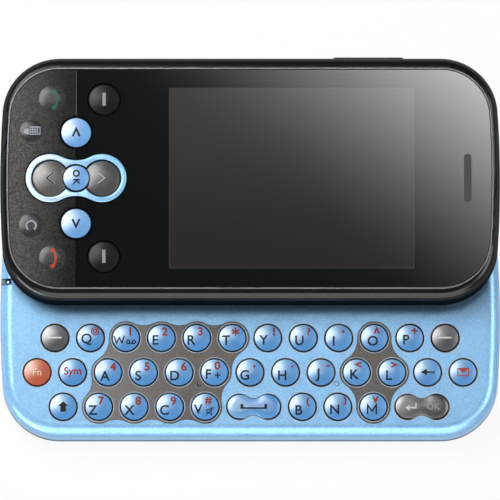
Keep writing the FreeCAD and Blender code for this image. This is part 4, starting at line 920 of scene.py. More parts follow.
def domed_slice(name, outline, centre, top, crown, finish, body, slot):
    """A dome cut to an outline: its rings are the outline shrunk towards the dome's own centre."""
    steps = [(1 - inwards / SIDE_RADIUS, high) for inwards, high in rounded_edge(top - EDGE_ROUND)]
    steps += [(steps[-1][0] * (1 - step / SLICE_RINGS), top) for step in range(1, SLICE_RINGS)]
    rings = [[(x, y, top - crown - CAP_DEPTH) for x, y in outline]]
    for share, high in steps:
        ring = []
        for x, y in outline:
            across, up = (x - centre[0]) * share, (y - centre[1]) * share
            fall = crown * (across ** 2 + up ** 2) / SIDE_RADIUS ** 2
            ring.append((centre[0] + across, centre[1] + up, high - fall))
        rings.append(ring)
    return finished_mesh(name, ring_mesh(name, rings), finish, body, slot, 50)


SIDE_CROWN = 0.5
# Both side keys are one smoked plastic: the left is painted lighter and the right darker, painted light and
# shade.
SIDE_LIT_AND_SHADED_TONES = {"nav_left": (tone(64, 57, 52), tone(92, 84, 77)),
              "nav_right": (tone(44, 40, 40), tone(68, 63, 61))}
for node, side in (("nav_left", -1), ("nav_right", 1)):
    plastic = speckled(f"{node}_plastic", *SIDE_LIT_AND_SHADED_TONES[node], 0.4, 0.12, depth=0.001,
                       specular_ior_level=0.1, coat_weight=0.85, coat_roughness=0.33, coat_ior=2.0)
    key = domed_slice(f"{node}_cap", crescent(side), side_centre(side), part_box(node)[1].z / MM, SIDE_CROWN,
                      plastic, node, "smoke_key")
    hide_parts(node)
print("front caps:", len(domes) + len(SIDE_LIT_AND_SHADED_TONES) - len(keyboard_keys))

# %% [markdown]
# ## The ring round the direction pad
# A peanut-shaped metallic band frames the three middle keys. It is one flat outline with one
# opening, so `plate` makes it and rounds its rim. The dark air round the front keys is too
# narrow for light to get in, so it is drawn as flat black rings that border each key.

# %% Build the ring and the grooves
RING_RADIUS, RING_WAIST = 5.0, 3.7
RING_INSIDE = 3.88
ring_low, ring_top = (corner.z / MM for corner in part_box("dpad_ring"))
ring_outline = scalloped(*peanut(seam, RING_RADIUS, RING_OFFSET, RING_WAIST))


def ring_opening():
    """The opening for the three keys: two side discs and the middle one, joined."""
    side_half, middle_half = meeting(RING_INSIDE)
    points = arc(side_centre(1), RING_INSIDE, -math.pi + side_half, math.pi - side_half)
    points += arc(seam, OK_ROOM, middle_half, math.pi - middle_half)[1:-1]
    points += arc(side_centre(-1), RING_INSIDE, side_half, 2 * math.pi - side_half)
    points += arc(seam, OK_ROOM, math.pi + middle_half, 2 * math.pi - middle_half)[1:-1]
    return points


def on_face(name, outlines, sink, rise, finish, slot):
    """A thin piece on the front face, from a depth below it to a height above it."""
    plate(name, outlines, face_top - sink, face_top + rise, finish, "upper_half", slot)


face_top = window_high.z / MM
groove_finish = moulded_plastic("groove_black", tone(6, 7, 8), 0.6, specular_ior_level=0.0)
GROOVE_WIDTH, GROOVE_RISE = 0.28, 0.012
wider = scalloped(*peanut(seam, RING_RADIUS + GROOVE_WIDTH, RING_OFFSET, RING_WAIST + GROOVE_WIDTH))
grooves = [ring_outline, wider]
for node in ROUND_FRONT_KEYS:
    grooves += [circle(middle(node), FRONT_RADIUS), circle(middle(node), FRONT_RADIUS + GROOVE_WIDTH)]
on_face("front_key_grooves", grooves, 0.04, GROOVE_RISE, groove_finish, "upper_shell")
ring = plate("dpad_ring_band", [ring_outline, ring_opening()], ring_low, ring_top, ring_finish,
             "upper_half", "blue_ring", rim=0.24)
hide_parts("dpad_ring")
print("ring from", round(ring_low, 2), "to", round(ring_top, 2), "mm")

# %% [markdown]
# ## The speckled strip and its four bulges
# The four small keys of the speckled strip have no gap round them: the strip itself bulges
# over a switch. The imported strip has plain low discs there. A copy of its mesh is pressed
# flat to the face, and each bulge is then a smooth dome of a speckled charcoal like the strip's.

# %% The flat strip
def pressed_flat(node, name, highest, finish, slot):
    """A copy of a node's mesh whose points above a height in mm are brought down to it."""
    bm = bmesh.new()
    bm.from_mesh(frame["nodes"][node].data)
    for vertex in bm.verts:
        vertex.co.z = min(vertex.co.z, highest * MM)
    bmesh.ops.remove_doubles(bm, verts=bm.verts, dist=0.001 * MM)
    bmesh.ops.dissolve_degenerate(bm, edges=bm.edges, dist=0.001 * MM)
    mesh = mesh_from(bm, name)
    if "custom_normal" in mesh.attributes:
        mesh.attributes.remove(mesh.attributes["custom_normal"])
    piece = finished_mesh(name, mesh, finish, "upper_half", slot)
    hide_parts(node)


pressed_flat("side_key_panel", "speckled_strip", face_top, panel_finish, "speckled_panel")

# %% [markdown]
# ## The seam
# Strip and window meet in a hairline gap, which the keys on the seam and the ring interrupt.
# A gap of a tenth of a millimetre is too fine to cut cleanly, so a dark line lies on it in
# pieces that end at each groove, and its last piece has a thin paler strip along its edge, a
# painted highlight.

# %% Draw the seam between strip and window
SEAM_HALF, SEAM_SINK, SEAM_INSET = 0.1, 0.1, 0.3
SHINE_LEFT, SHINE_WIDTH, SHINE_RISE = 0.04, 0.09, 0.02
seam_x = (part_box("side_key_panel")[1].x + window_low.x) / 2 / MM
seam_low, seam_high = window_low.y / MM + SEAM_INSET, window_high.y / MM - SEAM_INSET
seam_shine = moulded_plastic("seam_shine", tone(80, 80, 82), 0.4)
stops = [seam_low]
for node, reach in (("nav_down", FRONT_RADIUS), ("nav_ok", RING_WAIST), ("nav_up", FRONT_RADIUS)):
    stops += [middle(node)[1] - reach - GROOVE_WIDTH, middle(node)[1] + reach + GROOVE_WIDTH]
stops.append(seam_high)
for number, (low, high) in enumerate(zip(stops[::2], stops[1::2])):
    line = block(seam_x - SEAM_HALF, low, 2 * SEAM_HALF, high - low)
    on_face(f"seam_line_{number}", [line], SEAM_SINK, GROOVE_RISE, groove_finish, "speckled_panel")
# Painted highlight: a thin paler strip along the last piece of the seam line.
shine = block(seam_x - SHINE_LEFT, low, SHINE_WIDTH, high - low)
on_face("seam_shine", [shine], SEAM_SINK, SHINE_RISE, seam_shine, "speckled_panel")
print("pieces of the seam line:", len(stops) // 2)

# %% Build the bulges
BUMP_RISE, BUMP_POWER = 0.27, 3.2
BUMPS = {
    "call_bump": ((-40.1, 16.45), 2.75), "menu_bump": ((-44.4, 9.75), 2.3),
    "clear_bump": ((-44.4, -9.75), 2.5), "end_bump": ((-40.1, -16.45), 2.65),
}


class Bulge(Dome):
    """A dome that rises from the face with no shoulder."""

    def rings(self):
        yield 0, self.top - self.crown - 0.1
        steps = CROWN_RINGS + EDGE_STEPS
        for step in range(steps + 1):
            inwards = self.reach * MIDDLE_SHARE * step / steps
            yield inwards, self.height_inside(inwards)


def build_bulge(name, centre, top, radius, rise, power, finish, body, slot):
    bulge = Bulge(centre, top, radius, rise, power=power)
    finished_mesh(name, dome_mesh(bulge), finish, body, slot, 60)
    return bulge


bump_finish = speckled("bump_speckle", tone(36, 36, 37), tone(62, 61, 60), 0.34, 0.2, depth=0.004,
                       specular_ior_level=0.14, coat_weight=0.7, coat_roughness=0.25)
for name, ((x, y), radius) in BUMPS.items():
    domes[name] = build_bulge(f"{name}_dome", (x, y + window_middle_y), face_top + BUMP_RISE, radius,
                              BUMP_RISE, BUMP_POWER, bump_finish, "upper_half", "speckled_panel")
print("bulges:", len(BUMPS))

# %% [markdown]
# ## Inks
# Each ink is a thin matt paint. Letters on the blue keys are dark navy, the second signs
# are brick red, and the black keys carry pale grey.


# %% Mix the inks
def ink(name, colour):
    paint = Finish(name, colour, 0.5, specular_ior_level=0.2)
    worn = paint.noise(0.3 * MM, 3)
    paint.drive("Base Color", paint.mix(worn * 0.4, colour, tuple(c * 0.8 + 0.006 for c in colour)))
    paint.drive("Roughness", 0.45 + worn * 0.15)
    return paint


navy_ink = ink("navy_ink", tone(6, 24, 48))
brick_ink = ink("brick_ink", tone(150, 60, 54))
pale_ink = ink("pale_ink", tone(214, 214, 214))
grey_ink = ink("grey_ink", tone(160, 158, 160))
smoke_ink = ink("smoke_ink", tone(36, 31, 29))
black_ink = ink("black_ink", tone(30, 30, 36))
green_ink = ink("green_ink", tone(36, 108, 86))
red_ink = ink("red_ink", tone(190, 66, 50))
silver_ink = ink("silver_ink", tone(166, 170, 182))
cream_ink = ink("cream_ink", tone(250, 204, 164))
sand_ink = ink("sand_ink", tone(186, 180, 174))

# %% [markdown]
# ## Keyboard printing
# A letter sits in the lower left of its cap and a red second sign in the upper right, but
# no two keys are printed quite alike: a broad letter moves left and a narrow sign moves in.
# So a table names each letter's place, its second sign and that sign's place.

# %% Where each letter and second sign is printed, in mm from the cap's middle
PRINTING = {
    "q": ((-0.80, -0.35), "@", (1.00, 1.35)), "w": ((-1.35, -0.55), "1", (0.90, 1.30)),
    "e": ((-1.20, -0.45), "2", (0.70, 1.30)), "r": ((-1.10, -0.45), "3", (0.70, 1.30)),
    "t": ((-1.27, -0.50), "*", (0.65, 1.25)), "y": ((-0.85, -0.46), "!", (1.27, 1.30)),
    "u": ((-0.80, -0.55), "?", (1.14, 1.25)), "i": ((-1.04, -0.65), "'", (0.88, 1.25)),
    "o": ((-0.30, -0.65), "up", (0.49, 1.43)), "p": ((-0.72, -0.40), "+", (1.00, 1.45)),
    "a": ((-0.65, -0.78), "4", (0.98, 1.10)), "s": ((-1.10, -0.72), "5", (0.71, 1.17)),
    "d": ((-0.90, -0.72), "6", (0.98, 1.17)), "f": ((-1.24, -0.40), "0", (0.58, 1.36)),
    "g": ((-1.10, -0.60), ",", (0.85, 1.20)), "h": ((-0.68, -0.65), ".", (1.37, 1.20)),
    "j": ((-0.72, -0.55), "-", (1.37, 1.30)), "k": ((-0.40, -0.46), "left", (0.39, 1.55)),
    "l": ((-0.62, -0.65), "right", (0.33, 1.50)), "z": ((-1.20, -0.72), "7", (0.52, 1.20)),
    "x": ((-0.98, -0.72), "8", (0.81, 1.20)), "c": ((-1.07, -0.72), "9", (0.75, 1.15)),
    "v": ((-1.43, -0.52), "#", (0.65, 1.20)), "b": ((-0.72, -0.72), "(", (1.17, 0.95)),
    "n": ((-0.65, -0.60), ")", (1.40, 1.15)), "m": ((-0.30, -0.60), "down", (0.42, 1.55)),
}
LETTER_HEIGHT = 2.0
SECOND_HEIGHT = 1.72
LETTER_BOLD = 0.055
SECOND_BOLD, THIN_BOLD = 0.08, 0.035
SMALLER_SIGNS = {"@": 1.3, "(": 1.4, ")": 1.4, "#": 1.6}
THIN_SIGNS = "@?"
ARROW_TURNS = {"up": 0, "right": 90, "down": 180, "left": 270}
ARROW_SIGN = [(-0.48, -0.6), (0, 0.55), (0.48, -0.6)]


# %% Print letters and second signs
def inked(node, part, meshes, finish):
    """Prints flat meshes on a key, in place from its middle."""
    dome = domes[node]
    body = node if node in frame["bodies"] else "upper_half"
    slot = KEY_SLOTS.get(node, "speckled_panel")
    return print_on(f"{node}_{part}", meshes, dome.centre, dome.height, finish, body, slot)


def letter_mesh(letter):
    """A capital. The font's W and M close up when they are made bold, so those two are drawn."""
    if letter == "w":
        points = [(-1.06, 0.95), (-0.55, -0.55), (0, 0.55), (0.55, -0.55), (1.06, 0.95)]
        return sign_mesh(stroke(points, 0.27))
    if letter != "m":
        return text_mesh(letter.upper(), LETTER_HEIGHT, LETTER_BOLD)
    return sign_mesh(stroke([(-0.88, -1), (-0.88, 0.9), (0, -0.35), (0.88, 0.9), (0.88, -1)], 0.3))


def star(arms, reach, width):
    """The outline of an asterisk."""
    points = []
    half, notch = math.asin(width / 2 / reach), width / 2 / math.sin(math.pi / arms)
    for arm in range(arms):
        angle = 2 * math.pi * arm / arms + math.pi / 2
        points += arc((0, 0), reach, angle - half, angle + half)
        points.append(arc((0, 0), notch, angle + math.pi / arms, angle + math.pi / arms)[0])
    return points


def second_mesh(sign):
    if sign == "*":
        return sign_mesh([star(6, 0.85, 0.36)])
    if sign in ARROW_TURNS:
        return placed(sign_mesh(stroke(ARROW_SIGN, 0.36)), 0, 0, ARROW_TURNS[sign])
    if sign == "6":
        return placed(second_mesh("9"), 0, 0, 180)
    bold = THIN_BOLD if sign in THIN_SIGNS else SECOND_BOLD
    return text_mesh(sign, SMALLER_SIGNS.get(sign, SECOND_HEIGHT), bold)


for letter, (place, sign, sign_place) in PRINTING.items():
    node = f"key_{letter}"
    inked(node, "letter", [placed(letter_mesh(letter), *place)], navy_ink)
    inked(node, "second", [placed(second_mesh(sign), *sign_place)], brick_ink)
print("lettered keys:", len(PRINTING))

# %% Print small dark signs beside three letters
REEL = 0.58
TAPE_SIGN = [circle((side * REEL, 0), radius) for side in (-1, 1) for radius in (0.44, 0.2)]
TAPE_LINE = stroke([(-REEL, -0.37), (REEL, -0.37)], 0.2)
inked("key_w", "tape", [placed(sign_mesh(outlines), 1.04, -0.84) for outlines in (TAPE_SIGN, TAPE_LINE)],
      navy_ink)
inked("key_f", "plus", [placed(text_mesh("+", 1.6, 0.05), 0.58, -0.65)], navy_ink)
SPEAKER = stroke([(-0.7, -0.28), (-0.3, -0.28), (0.25, -0.7), (0.25, 0.7), (-0.3, 0.28), (-0.7, 0.28)], 0.18,
                 closed=True)
SLASH = stroke([(-0.85, -0.85), (0.8, 0.85)], 0.18)
inked("key_v", "mute", [placed(sign_mesh(outlines), 1.0, -0.95) for outlines in (SPEAKER, SLASH)], navy_ink)

# %% [markdown]
# ## Signs drawn as strokes
# Arrows, the envelope, the space bracket and the bars on the soft keys are lines of even
# width, so `stroke` draws them from their corner points.

# %% Print the other keyboard signs
SOFT_BAR = [block(-1.36, -0.17, 2.72, 0.34)]
for node in ("key_soft_left", "key_soft_right"):
    inked(node, "bar", [sign_mesh(SOFT_BAR)], pale_ink)
inked("key_fn", "word", [text_mesh("Fn", 1.46, 0.02)], cream_ink)
inked("key_sym", "word", [text_mesh("Sym", 1.6, 0.06)], brick_ink)

SHIFT_ARROW = [[(0, 1.07), (1.07, 0.1), (0.57, 0.1), (0.57, -1.07), (-0.57, -1.07), (-0.57, 0.1),
                (-1.07, 0.1)]]
BACK_ARROW = [[(-1.43, 0), (-0.13, 0.65), (-0.13, 0.15), (1.43, 0.15), (1.43, -0.15), (-0.13, -0.15),
               (-0.13, -0.65)]]
inked("key_shift", "arrow", [sign_mesh(SHIFT_ARROW)], black_ink)
inked("key_backspace", "arrow", [sign_mesh(BACK_ARROW)], navy_ink)

ENVELOPE = stroke([(-1.07, -0.75), (1.07, -0.75), (1.07, 0.75), (-1.07, 0.75)], 0.2, closed=True)
FLAP = [[(-0.97, 0.65), (0, -0.3), (0.97, 0.65)]]
inked("key_message", "envelope", [sign_mesh(ENVELOPE), sign_mesh(FLAP)], red_ink)

BRACKET = [[(-2.7, 0.5), (-2.7, -0.5), (2.7, -0.5), (2.7, 0.5), (2.14, 0.5), (2.14, -0.17), (-2.14, -0.17),
            (-2.14, 0.5)]]
inked("key_space", "bracket", [sign_mesh(BRACKET)], navy_ink)

RETURN_ARROW = [[(-3.41, -0.25), (-2.5, 0.4), (-2.5, -0.08), (-1.38, -0.08), (-1.38, 0.7), (-1.07, 0.7),
                 (-1.07, -0.42), (-2.5, -0.42), (-2.5, -0.9)]]
inked("key_enter", "arrow", [sign_mesh(RETURN_ARROW)], pale_ink)
inked("key_enter", "word", [placed(text_mesh("OK", 1.36), 2.3, 0)], grey_ink)

# %% [markdown]
# ## Signs of the front
# The front face is read with the phone upright, so its signs are turned a quarter turn
# clockwise here, where the phone lies on its side.

# %% Print the front signs
QUARTER = 90
for node in SOFT_KEYS:
    inked(node, "bar", [sign_mesh([block(-0.33, -1.35, 0.66, 2.7)])], grey_ink)

CHEVRON = [(-0.72, -0.85), (0, 0.7), (0.72, -0.85)]
inked("nav_up", "chevron", [sign_mesh(stroke(CHEVRON, 0.4))], navy_ink)
inked("nav_down", "chevron", [sign_mesh(stroke([(x, -y) for x, y in CHEVRON], 0.4))], navy_ink)

ok_word = [placed(text_mesh("O", 1.35, 0.08), 0.05, 0.9, QUARTER),
           placed(text_mesh("K", 1.28, 0.08), 0.05, -0.9, QUARTER)]
inked("nav_ok", "word", ok_word, navy_ink)

# Each side chevron is drawn as a pale and a dark copy a little apart: a painted highlight and a painted
# shadow that make it look pressed in.
for node, side, colours in (("nav_left", -1, (sand_ink, smoke_ink)), ("nav_right", 1, (smoke_ink, sand_ink))):
    points = [(side * -0.75, 1.1), (side * 0.65, 0), (side * -0.75, -1.1)]
    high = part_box(node)[1].z / MM
    for shift, colour, lift in zip((0.16, -0.04), colours, (0.015, 0.035)):
        sign = placed(sign_mesh(stroke(points, 0.26)), shift, 0)
        print_on(f"{node}_chevron_{colour.material.name}", [sign], side_centre(side),
                 lambda x, y: high + lift - SIDE_CROWN * (x * x + y * y) / SIDE_RADIUS ** 2,
                 colour, node, "smoke_key")

CLEAR_SIGN = stroke(arc((0, -0.15), 0.98, math.radians(-52), math.radians(232)), 0.34)
inked("clear_bump", "letter", [sign_mesh(CLEAR_SIGN)], silver_ink)


def handset():
    """A telephone handset seen from its side: a thin curved grip with a lobe under each end."""
    outer, inner, sink = 4.6, 4.18, -4.05
    half_outer, half_inner = math.asin(2.15 / outer), math.asin(1.15 / inner)
    straight_up = math.pi / 2
    lobe = [(2.04, -0.5), (1.68, -0.72), (1.3, -0.52)]
    points = arc((0, sink), outer, straight_up + half_outer, straight_up - half_outer) + lobe
    points += arc((0, sink), inner, straight_up - half_inner, straight_up + half_inner)
    return [points + [(-x, y) for x, y in reversed(lobe)]]


inked("call_bump", "handset", [placed(sign_mesh(handset()), 0.5, -0.2, QUARTER)], green_ink)
inked("end_bump", "handset", [placed(sign_mesh(handset()), 0.3, -0.1, QUARTER)], red_ink)

keypad = [block(-0.35, -0.85, 2.2, 1.7), block(1.34, -0.68, 0.32, 1.28)]
keypad += [block(-0.2 + column * 0.5, -0.68 + row * 0.49, 0.34, 0.3)
           for row in range(3) for column in range(3)]
hand = arc((-0.95, -0.15), 0.6, math.pi / 2, 3 * math.pi / 2) + [(-0.5, -0.75), (-0.5, 0.45)]
inked("menu_bump", "keypad", [placed(sign_mesh(keypad), 0, 0.05)], silver_ink)
inked("menu_bump", "hand", [sign_mesh([hand])], silver_ink)
print("printed keys and bulges:", len(domes) + len(SIDE_LIT_AND_SHADED_TONES))

# %% [markdown]
# ## Inlays of the keyboard
# Two grey inlays mark groups of keys: a scalloped one round the number keys, and a diamond
# round the four arrow keys. They are thin foils on the plate, each with a hole round every
# key, so their outline is the walk round the outer keys.

# %% Lay the inlays
INLAY_RADIUS = 3.4
INLAY_HOLLOW = 4.68
KEY_AIR, LIP_WIDTH = 0.14, 0.14
HOLE_EDGES = (KEY_AIR, KEY_AIR + LIP_WIDTH)
INLAY_HOLE = KEY_RADIUS + HOLE_EDGES[1]
INLAY_THICKNESS = 0.05
plate_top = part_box("keyboard_cover")[1].z / MM
inlay_finish = speckled("inlay_grey", tone(84, 79, 75), tone(108, 102, 97), 0.42, 0.14, 0.6)
x, y, z = inlay_finish.axes()
# Painted highlight: the inlays are painted paler towards the left, where the lamp falls.
inlay_painted_light = x.below(-24 * MM, 30 * MM) * 0.5
inlay_finish.drive("Base Color", inlay_finish.mix(inlay_painted_light, inlay_finish.shade, tone(150, 148, 147)))
inlay_edge_finish = moulded_plastic("inlay_edge", tone(50, 46, 44), 0.4)
# The pale colour of the lips round the key holes is a painted highlight of the holes' chamfered edges.
lip_highlight_finish = moulded_plastic("key_hole_lip", tone(176, 190, 206), 0.35)


def on_plate(name, outlines, rise, finish, rim=0.0):
    """A thin piece on the keyboard plate that is sunk in it a little, so that nothing shows below it."""
    plate(name, outlines, plate_top - 0.05, plate_top + rise, finish, "lower_half", "keyboard_plate", rim)


def lay_inlay(name, rim_keys, all_keys):
    rim = [middle(f"key_{letter}") for letter in rim_keys]
    holes = [circle(middle(f"key_{letter}"), INLAY_HOLE) for letter in all_keys]
    on_plate(name, [scalloped(rim, INLAY_RADIUS, INLAY_HOLLOW)] + holes, INLAY_THICKNESS, inlay_finish)
    edges = [scalloped(rim, INLAY_RADIUS + out, INLAY_HOLLOW - out) for out in (0.08, -0.03)]
    on_plate(f"{name}_edge", edges, INLAY_THICKNESS + 0.01, inlay_edge_finish)


lay_inlay("number_inlay", "wazxcvftre", "wertasdfzxcv")
lay_inlay("arrow_inlay", "okml", "oklm")
print("top of the keyboard plate in mm:", round(plate_top, 2))

# %% Pale lips round the key holes, painted as a highlight of their edges
lips = []
for node in keyboard_keys:
    if node in WIDE_KEYS:
        centres, radius, hollow = peanut(middle(node), WIDE_RADIUS, WIDE_OFFSET, WIDE_WAIST)
        lips += [scalloped(centres, radius + out, hollow - out) for out in HOLE_EDGES]
    else:
        lips += [circle(middle(node), KEY_RADIUS + out) for out in HOLE_EDGES]
on_plate("key_hole_lips", lips, INLAY_THICKNESS, lip_highlight_finish, rim=0.02)
print("lips round key holes:", len(lips) // 2)

# %% [markdown]
# ## Homing pips
# Two small marks let a thumb find F and J without looking. Each is a tiny bulge of the same
# kind as on the speckled strip, with a dark disc or ring below it for the shadow line that
# so small a form wouldn't draw by itself.

# %% Build the pips
PIP_POWER = 2.6
PIP_J_RADIUS, PIP_J_TOP, PIP_J_RISE = 0.42, 0.25, 0.22
PIP_F_RADIUS, PIP_F_TOP, PIP_F_RISE, PIP_F_SHADOW = 0.36, 0.28, 0.25, 0.46


def beside(key, right, up):
    """A point in mm, given from the middle of a key."""
    x, y = middle(key)
    return x + right, y + up


pip_j = build_bulge("pip_j", beside("key_j", 3.18, -2.25), plate_top + PIP_J_TOP, PIP_J_RADIUS, PIP_J_RISE,
                    PIP_POWER, plate_finish, "lower_half", "keyboard_plate")
rim_circles = [circle(pip_j.centre, PIP_J_RADIUS + out) for out in (0.1, 0)]
on_plate("pip_j_ring", rim_circles, 0.03, inlay_edge_finish)

pip_finish = moulded_plastic("pip_dark", tone(20, 22, 26), 0.25)
on_plate("pip_f_shadow", [circle(beside("key_f", -3.14, -2.4), PIP_F_SHADOW)], 0.07, pip_finish)
pip_f = build_bulge("pip_f", beside("key_f", -2.98, -2.24), plate_top + PIP_F_TOP, PIP_F_RADIUS, PIP_F_RISE,
                    PIP_POWER, inlay_finish, "lower_half", "keyboard_plate")
print("pips in mm:", [[round(value, 2) for value in pip.centre] for pip in (pip_j, pip_f)])

# %% [markdown]
# ## The strap eyelet
# A cord is looped round a bar in the phone's left end. The imported shell has the opening and
# its bar. What tells them apart is colour, so a grey cap covers the bar, a black floor, a
# painted shade, lines the opening and a bright pin head stands in it.

# %% Line the eyelet
EYELET_END, EYELET_Y = cad_box[0].x / MM, 6.7
bar_finish = moulded_plastic("eyelet_bar_grey", tone(92, 116, 138), 0.4)
pin_finish = brushed_metal("eyelet_pin_finish", tone(226, 230, 234), 0.35, (1, 1, 1))
plate("eyelet_bar_cap", [block(EYELET_END + 0.15, EYELET_Y - 0.55, 1.0, 1.1)], 5.9, 7.4, bar_finish,
      "lower_half", "lower_shell", rim=0.12)
# Painted shade: a black floor darkens the opening.
plate("eyelet_lining", [block(EYELET_END + 1.15, EYELET_Y - 0.68, 1.1, 1.36)], 5.4, 6.1, groove_finish,
      "lower_half", "lower_shell")
build_bulge("eyelet_pin", (EYELET_END + 1.7, EYELET_Y), 7.9, 0.5, 0.4, PIP_POWER, pin_finish, "lower_half",
            "lower_shell")

# %% [markdown]
# ## The earpiece
# The earpiece is a slot in the window with a fine pierced mesh in it. The holes could be a
# pattern in the finish, but real ones catch the light at their edges, so they are cut.

# %% Pierce the mesh
EARPIECE_X = 44.15
EARPIECE_LENGTH, EARPIECE_WIDTH = 9.9, 1.4
MESH_PITCH, MESH_HOLE = 0.4, 0.12
MESH_ROWS, MESH_COLUMNS = range(-11, 12), (-1, 0, 1)
mesh_finish = brushed_metal("earpiece_mesh_finish", tone(92, 90, 92), 0.4, (1, 1, 1))

half, end_radius = EARPIECE_LENGTH / 2 - EARPIECE_WIDTH / 2, EARPIECE_WIDTH / 2
earpiece_outline = arc((EARPIECE_X, window_middle_y + half), end_radius, 0, math.pi)
earpiece_outline += arc((EARPIECE_X, window_middle_y - half), end_radius, math.pi, 2 * math.pi)
holes = [circle((EARPIECE_X + column * MESH_PITCH, window_middle_y + row * MESH_PITCH), MESH_HOLE)
         for row in MESH_ROWS for column in MESH_COLUMNS]
on_face("earpiece_mesh", [earpiece_outline] + holes, 0.25, -0.12, mesh_finish, "rim_metal")
print("holes in the earpiece:", len(holes))

# %% [markdown]
# ## Lens and screws on the back
# A camera has a steel ring round a dark glass, and a small screw has a cross in its head.
# Both are thin pieces just inside the mouths of their wells, with their middles taken from
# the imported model.

# %% Ring the lens and cross the screws
LENS_RING, LENS_HOLE, LENS_GLASS = 2.86, 2.1, 1.4
lens_middle = middle("camera_unit")
glass_finish = moulded_plastic("lens_glass", tone(10, 12, 26), 0.05, depth=0.0, coat_weight=0.6)
plate("lens_ring", [circle(lens_middle, LENS_RING), circle(lens_middle, LENS_HOLE)], 0.05, 0.17,
      steel_finish, "lower_half", "camera_lens", rim=0.04)
plate("lens_glass", [circle(lens_middle, LENS_GLASS)], 0.1, 0.17, glass_finish, "lower_half", "camera_lens",
      rim=0.03)

SCREW_HEAD = 1.3
CROSS_LONG, CROSS_NARROW = 0.8, 0.16
screw_low, screw_high = (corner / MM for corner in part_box("housing_screws"))
screw_reach = (screw_high.y - screw_low.y) / 2 - SCREW_HEAD
for side in (-1, 1):
    x, y = (screw_low.x + screw_high.x) / 2, (screw_low.y + screw_high.y) / 2 + side * screw_reach
    # Painted shade: each cross is a flat black plate that stands for its recess.
    for name, wide, high in (("along", CROSS_LONG, CROSS_NARROW), ("across", CROSS_NARROW, CROSS_LONG)):
        plate(f"screw_cross_{name}_{side}", [block(x - wide, y - high, 2 * wide, 2 * high)], 0.57, 0.62,
              groove_finish, "lower_half", "screw_steel")

# %% [markdown]
# ## The table and the lights
# The phone lies on a plain white table. A soft lamp at the upper left rounds the domes, and
# a second one overhead, which nothing mirrors, keeps the shadow under the upper half short.
# Three low strips, which nothing mirrors either, light the upright walls.
# Sheets and cards of light in front, at the right and at the near corner are there only to
# be mirrored: they draw the bright bands along the rounded edges and leave the shadows
# alone.

# %% The table
TABLE_SIZE = 6.0
GLOW, EXTRA_FOR_CAMERA, GLOW_SHARE = 0.6, 0.4, 0.94
table_mesh = bpy.data.meshes.new("table")
half = TABLE_SIZE / 2
table_mesh.from_pydata([(-half, -half, 0), (half, -half, 0), (half, half, 0), (-half, half, 0)], [],
                       [(0, 1, 2, 3)])
table = add_object("table", table_mesh)
table.location.z = -0.02 * MM

table_finish = Finish("table_white", (0.9, 0.9, 0.9), 0.9)
camera_ray = table_finish.add("LightPath", output="Is Camera Ray")
seen = camera_ray
for kind in ("Is Glossy Ray", "Is Transmission Ray"):
    seen = seen.most(table_finish.add("LightPath", output=kind))
strength = camera_ray * EXTRA_FOR_CAMERA + GLOW
white = table_finish.add("Emission", sockets={"Color": (1, 1, 1), "Strength": strength})
matt_white = Wire(table_finish, table_finish.shader.outputs[0])
mixed = table_finish.add("MixShader", sockets={0: seen * GLOW_SHARE, 1: matt_white, 2: white})
table_finish.tree.links.new(mixed.socket, table_finish.tree.nodes["Material Output"].inputs["Surface"])
table_mesh.materials.append(table_finish.material)


# %% The lamps
def lamp(name, place, aim, size, radiance, colour=(1, 1, 1)):
    """A soft rectangular lamp in metres, of this brightness as seen, that no camera sees."""
    light = bpy.data.lights.new(name, "AREA")
    light.shape = "RECTANGLE"
    light.size, light.size_y = size
    light.energy = radiance * math.pi * size[0] * size[1]
    light.color = colour
    holder = add_object(name, light)
    face_towards(holder, place, Vector(aim) - Vector(place))
    holder.visible_camera = False
    return holder


lamp("upper_left_softbox", (-0.275, 0.235, 0.49), (-0.03, -0.01, 0.01), (0.36, 0.36), 7.5)
unmirrored = [lamp("overhead_softbox", (-0.02, 0.2, 0.9), (0, -0.01, 0.01), (0.5, 0.17), 6.2)]
mirrored_only = [
    lamp("front_sheet", (0.05, -0.54, 0.48), (0, -0.02, 0.01), (0.8, 0.4), 4.5, (1, 0.98, 0.96)),
    lamp("front_card", (0, -0.6, 0.13), (0, 0, 0.01), (1.0, 0.16), 4.5),
    lamp("right_sheet", (0.5, 0.02, 0.43), (0.05, 0, 0.01), (0.6, 0.28), 6),
    lamp("corner_card", (-0.42, -0.42, 0.12), (0, 0.01, 0.01), (0.4, 0.16), 12),
]
STRIP_HEIGHT, STRIP_AIM, STRIP_WIDTH = 0.022, (0, 0, 0.02), 0.04
for name, x, y, length, radiance in (("low_near", 0, -0.6, 1.2, 12), ("low_right", 0.6, 0, 0.8, 12),
                                     ("low_left", -0.6, 0, 0.8, 6)):
    unmirrored.append(lamp(name, (x, y, STRIP_HEIGHT), STRIP_AIM, (length, STRIP_WIDTH), radiance))
for light in unmirrored:
    light.visible_glossy = False
for light in mirrored_only:
    light.visible_diffuse = False
print("lamps:", 1 + len(unmirrored) + len(mirrored_only))

# %% [markdown]
# ## What the window mirrors
# Black glass shows little but its mirror image, so one sheet of light is placed just where
# the camera sees it in the window. `mirrored` follows the line of sight from the camera to
# a point of the window and up to the sheet's height, which gives the sheet's corners and
# the two points between which it fades.

# %% Build the mirrored sheet of light
SHEET_HEIGHT = 1.0
SHEET_STRENGTH = 31


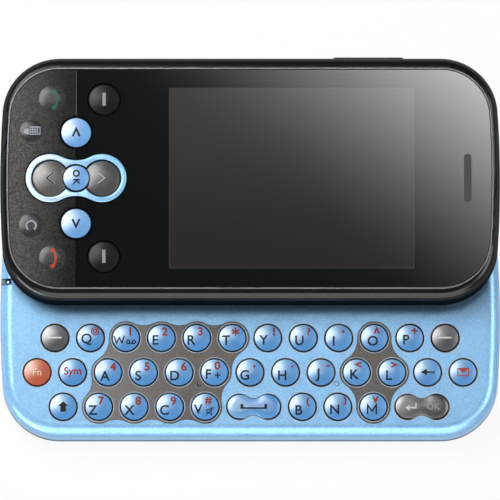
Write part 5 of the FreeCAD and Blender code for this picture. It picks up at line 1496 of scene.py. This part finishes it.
def mirrored(x, y):
    """Where the camera sees a point of the window mirrored, at the sheet's height, all in metres."""
    grow = SHEET_HEIGHT / camera.location.z
    return x + grow * (x - camera.location.x), y + grow * (y - camera.location.y)


left, near = mirrored(-0.045, -0.01)
right, far = mirrored(0.07, 0.075)
corners = [(left, near), (right, near), (right, far), (left, far)]
sheet_mesh = bpy.data.meshes.new("light_sheet")
sheet_mesh.from_pydata([(x, y, SHEET_HEIGHT) for x, y in corners], [], [(0, 1, 2, 3)])
light_sheet = add_object("light_sheet", sheet_mesh)
light_sheet.visible_camera = False
light_sheet.visible_shadow = False

bright = mirrored(0.0552, 0.0581)
dark = mirrored(0.0196, 0.0131)
span = (bright[0] - dark[0], bright[1] - dark[1])
sheet_finish = Finish("light_sheet_glow", (0, 0, 0), 1.0, emission_strength=SHEET_STRENGTH)
x, y, z = sheet_finish.axes()
along = ((x - dark[0]) * span[0] + (y - dark[1]) * span[1]) / (span[0] ** 2 + span[1] ** 2)
glow = along.most(0).least(1)
sheet_finish.drive("Emission Color", sheet_finish.mix(glow * glow, (0.0052, 0.0057, 0.006), (1, 0.98, 0.97)))
sheet_mesh.materials.append(sheet_finish.material)
print("mirrored sheet in m:", round(right - left, 2), "by", round(far - near, 2))

# %% [markdown]
# ## The room's own light
# The room is dark overhead and pale near the floor, as a studio with white walls is. The
# dark ceiling leaves the shadow under the upper half deep, and the pale walls are what the
# steep rims mirror.

# %% Paint the room
world = bpy.data.worlds.new("studio")
bpy.context.scene.world = world
world.use_nodes = True
room = Network(world.node_tree)
x, y, upwards = room.split(room.add("TexCoord", output="Generated"))
walls, ceiling = (0.94, 0.97, 1.0), (0.018, 0.02, 0.022)
background = world.node_tree.nodes["Background"]
room.feed(background.inputs["Color"], room.mix(upwards.above(0.12, 0.16), walls, ceiling))
room.feed(background.inputs["Strength"], 1.0)

# %% [markdown]
# ## Last settings
# The visual model must fill the same box as the imported one. The last cell sets a plain
# view transform and updates the scene.

# %% Set the view transform
scene = bpy.context.scene
scene.view_settings.view_transform = "Standard"
bpy.context.view_layer.update()
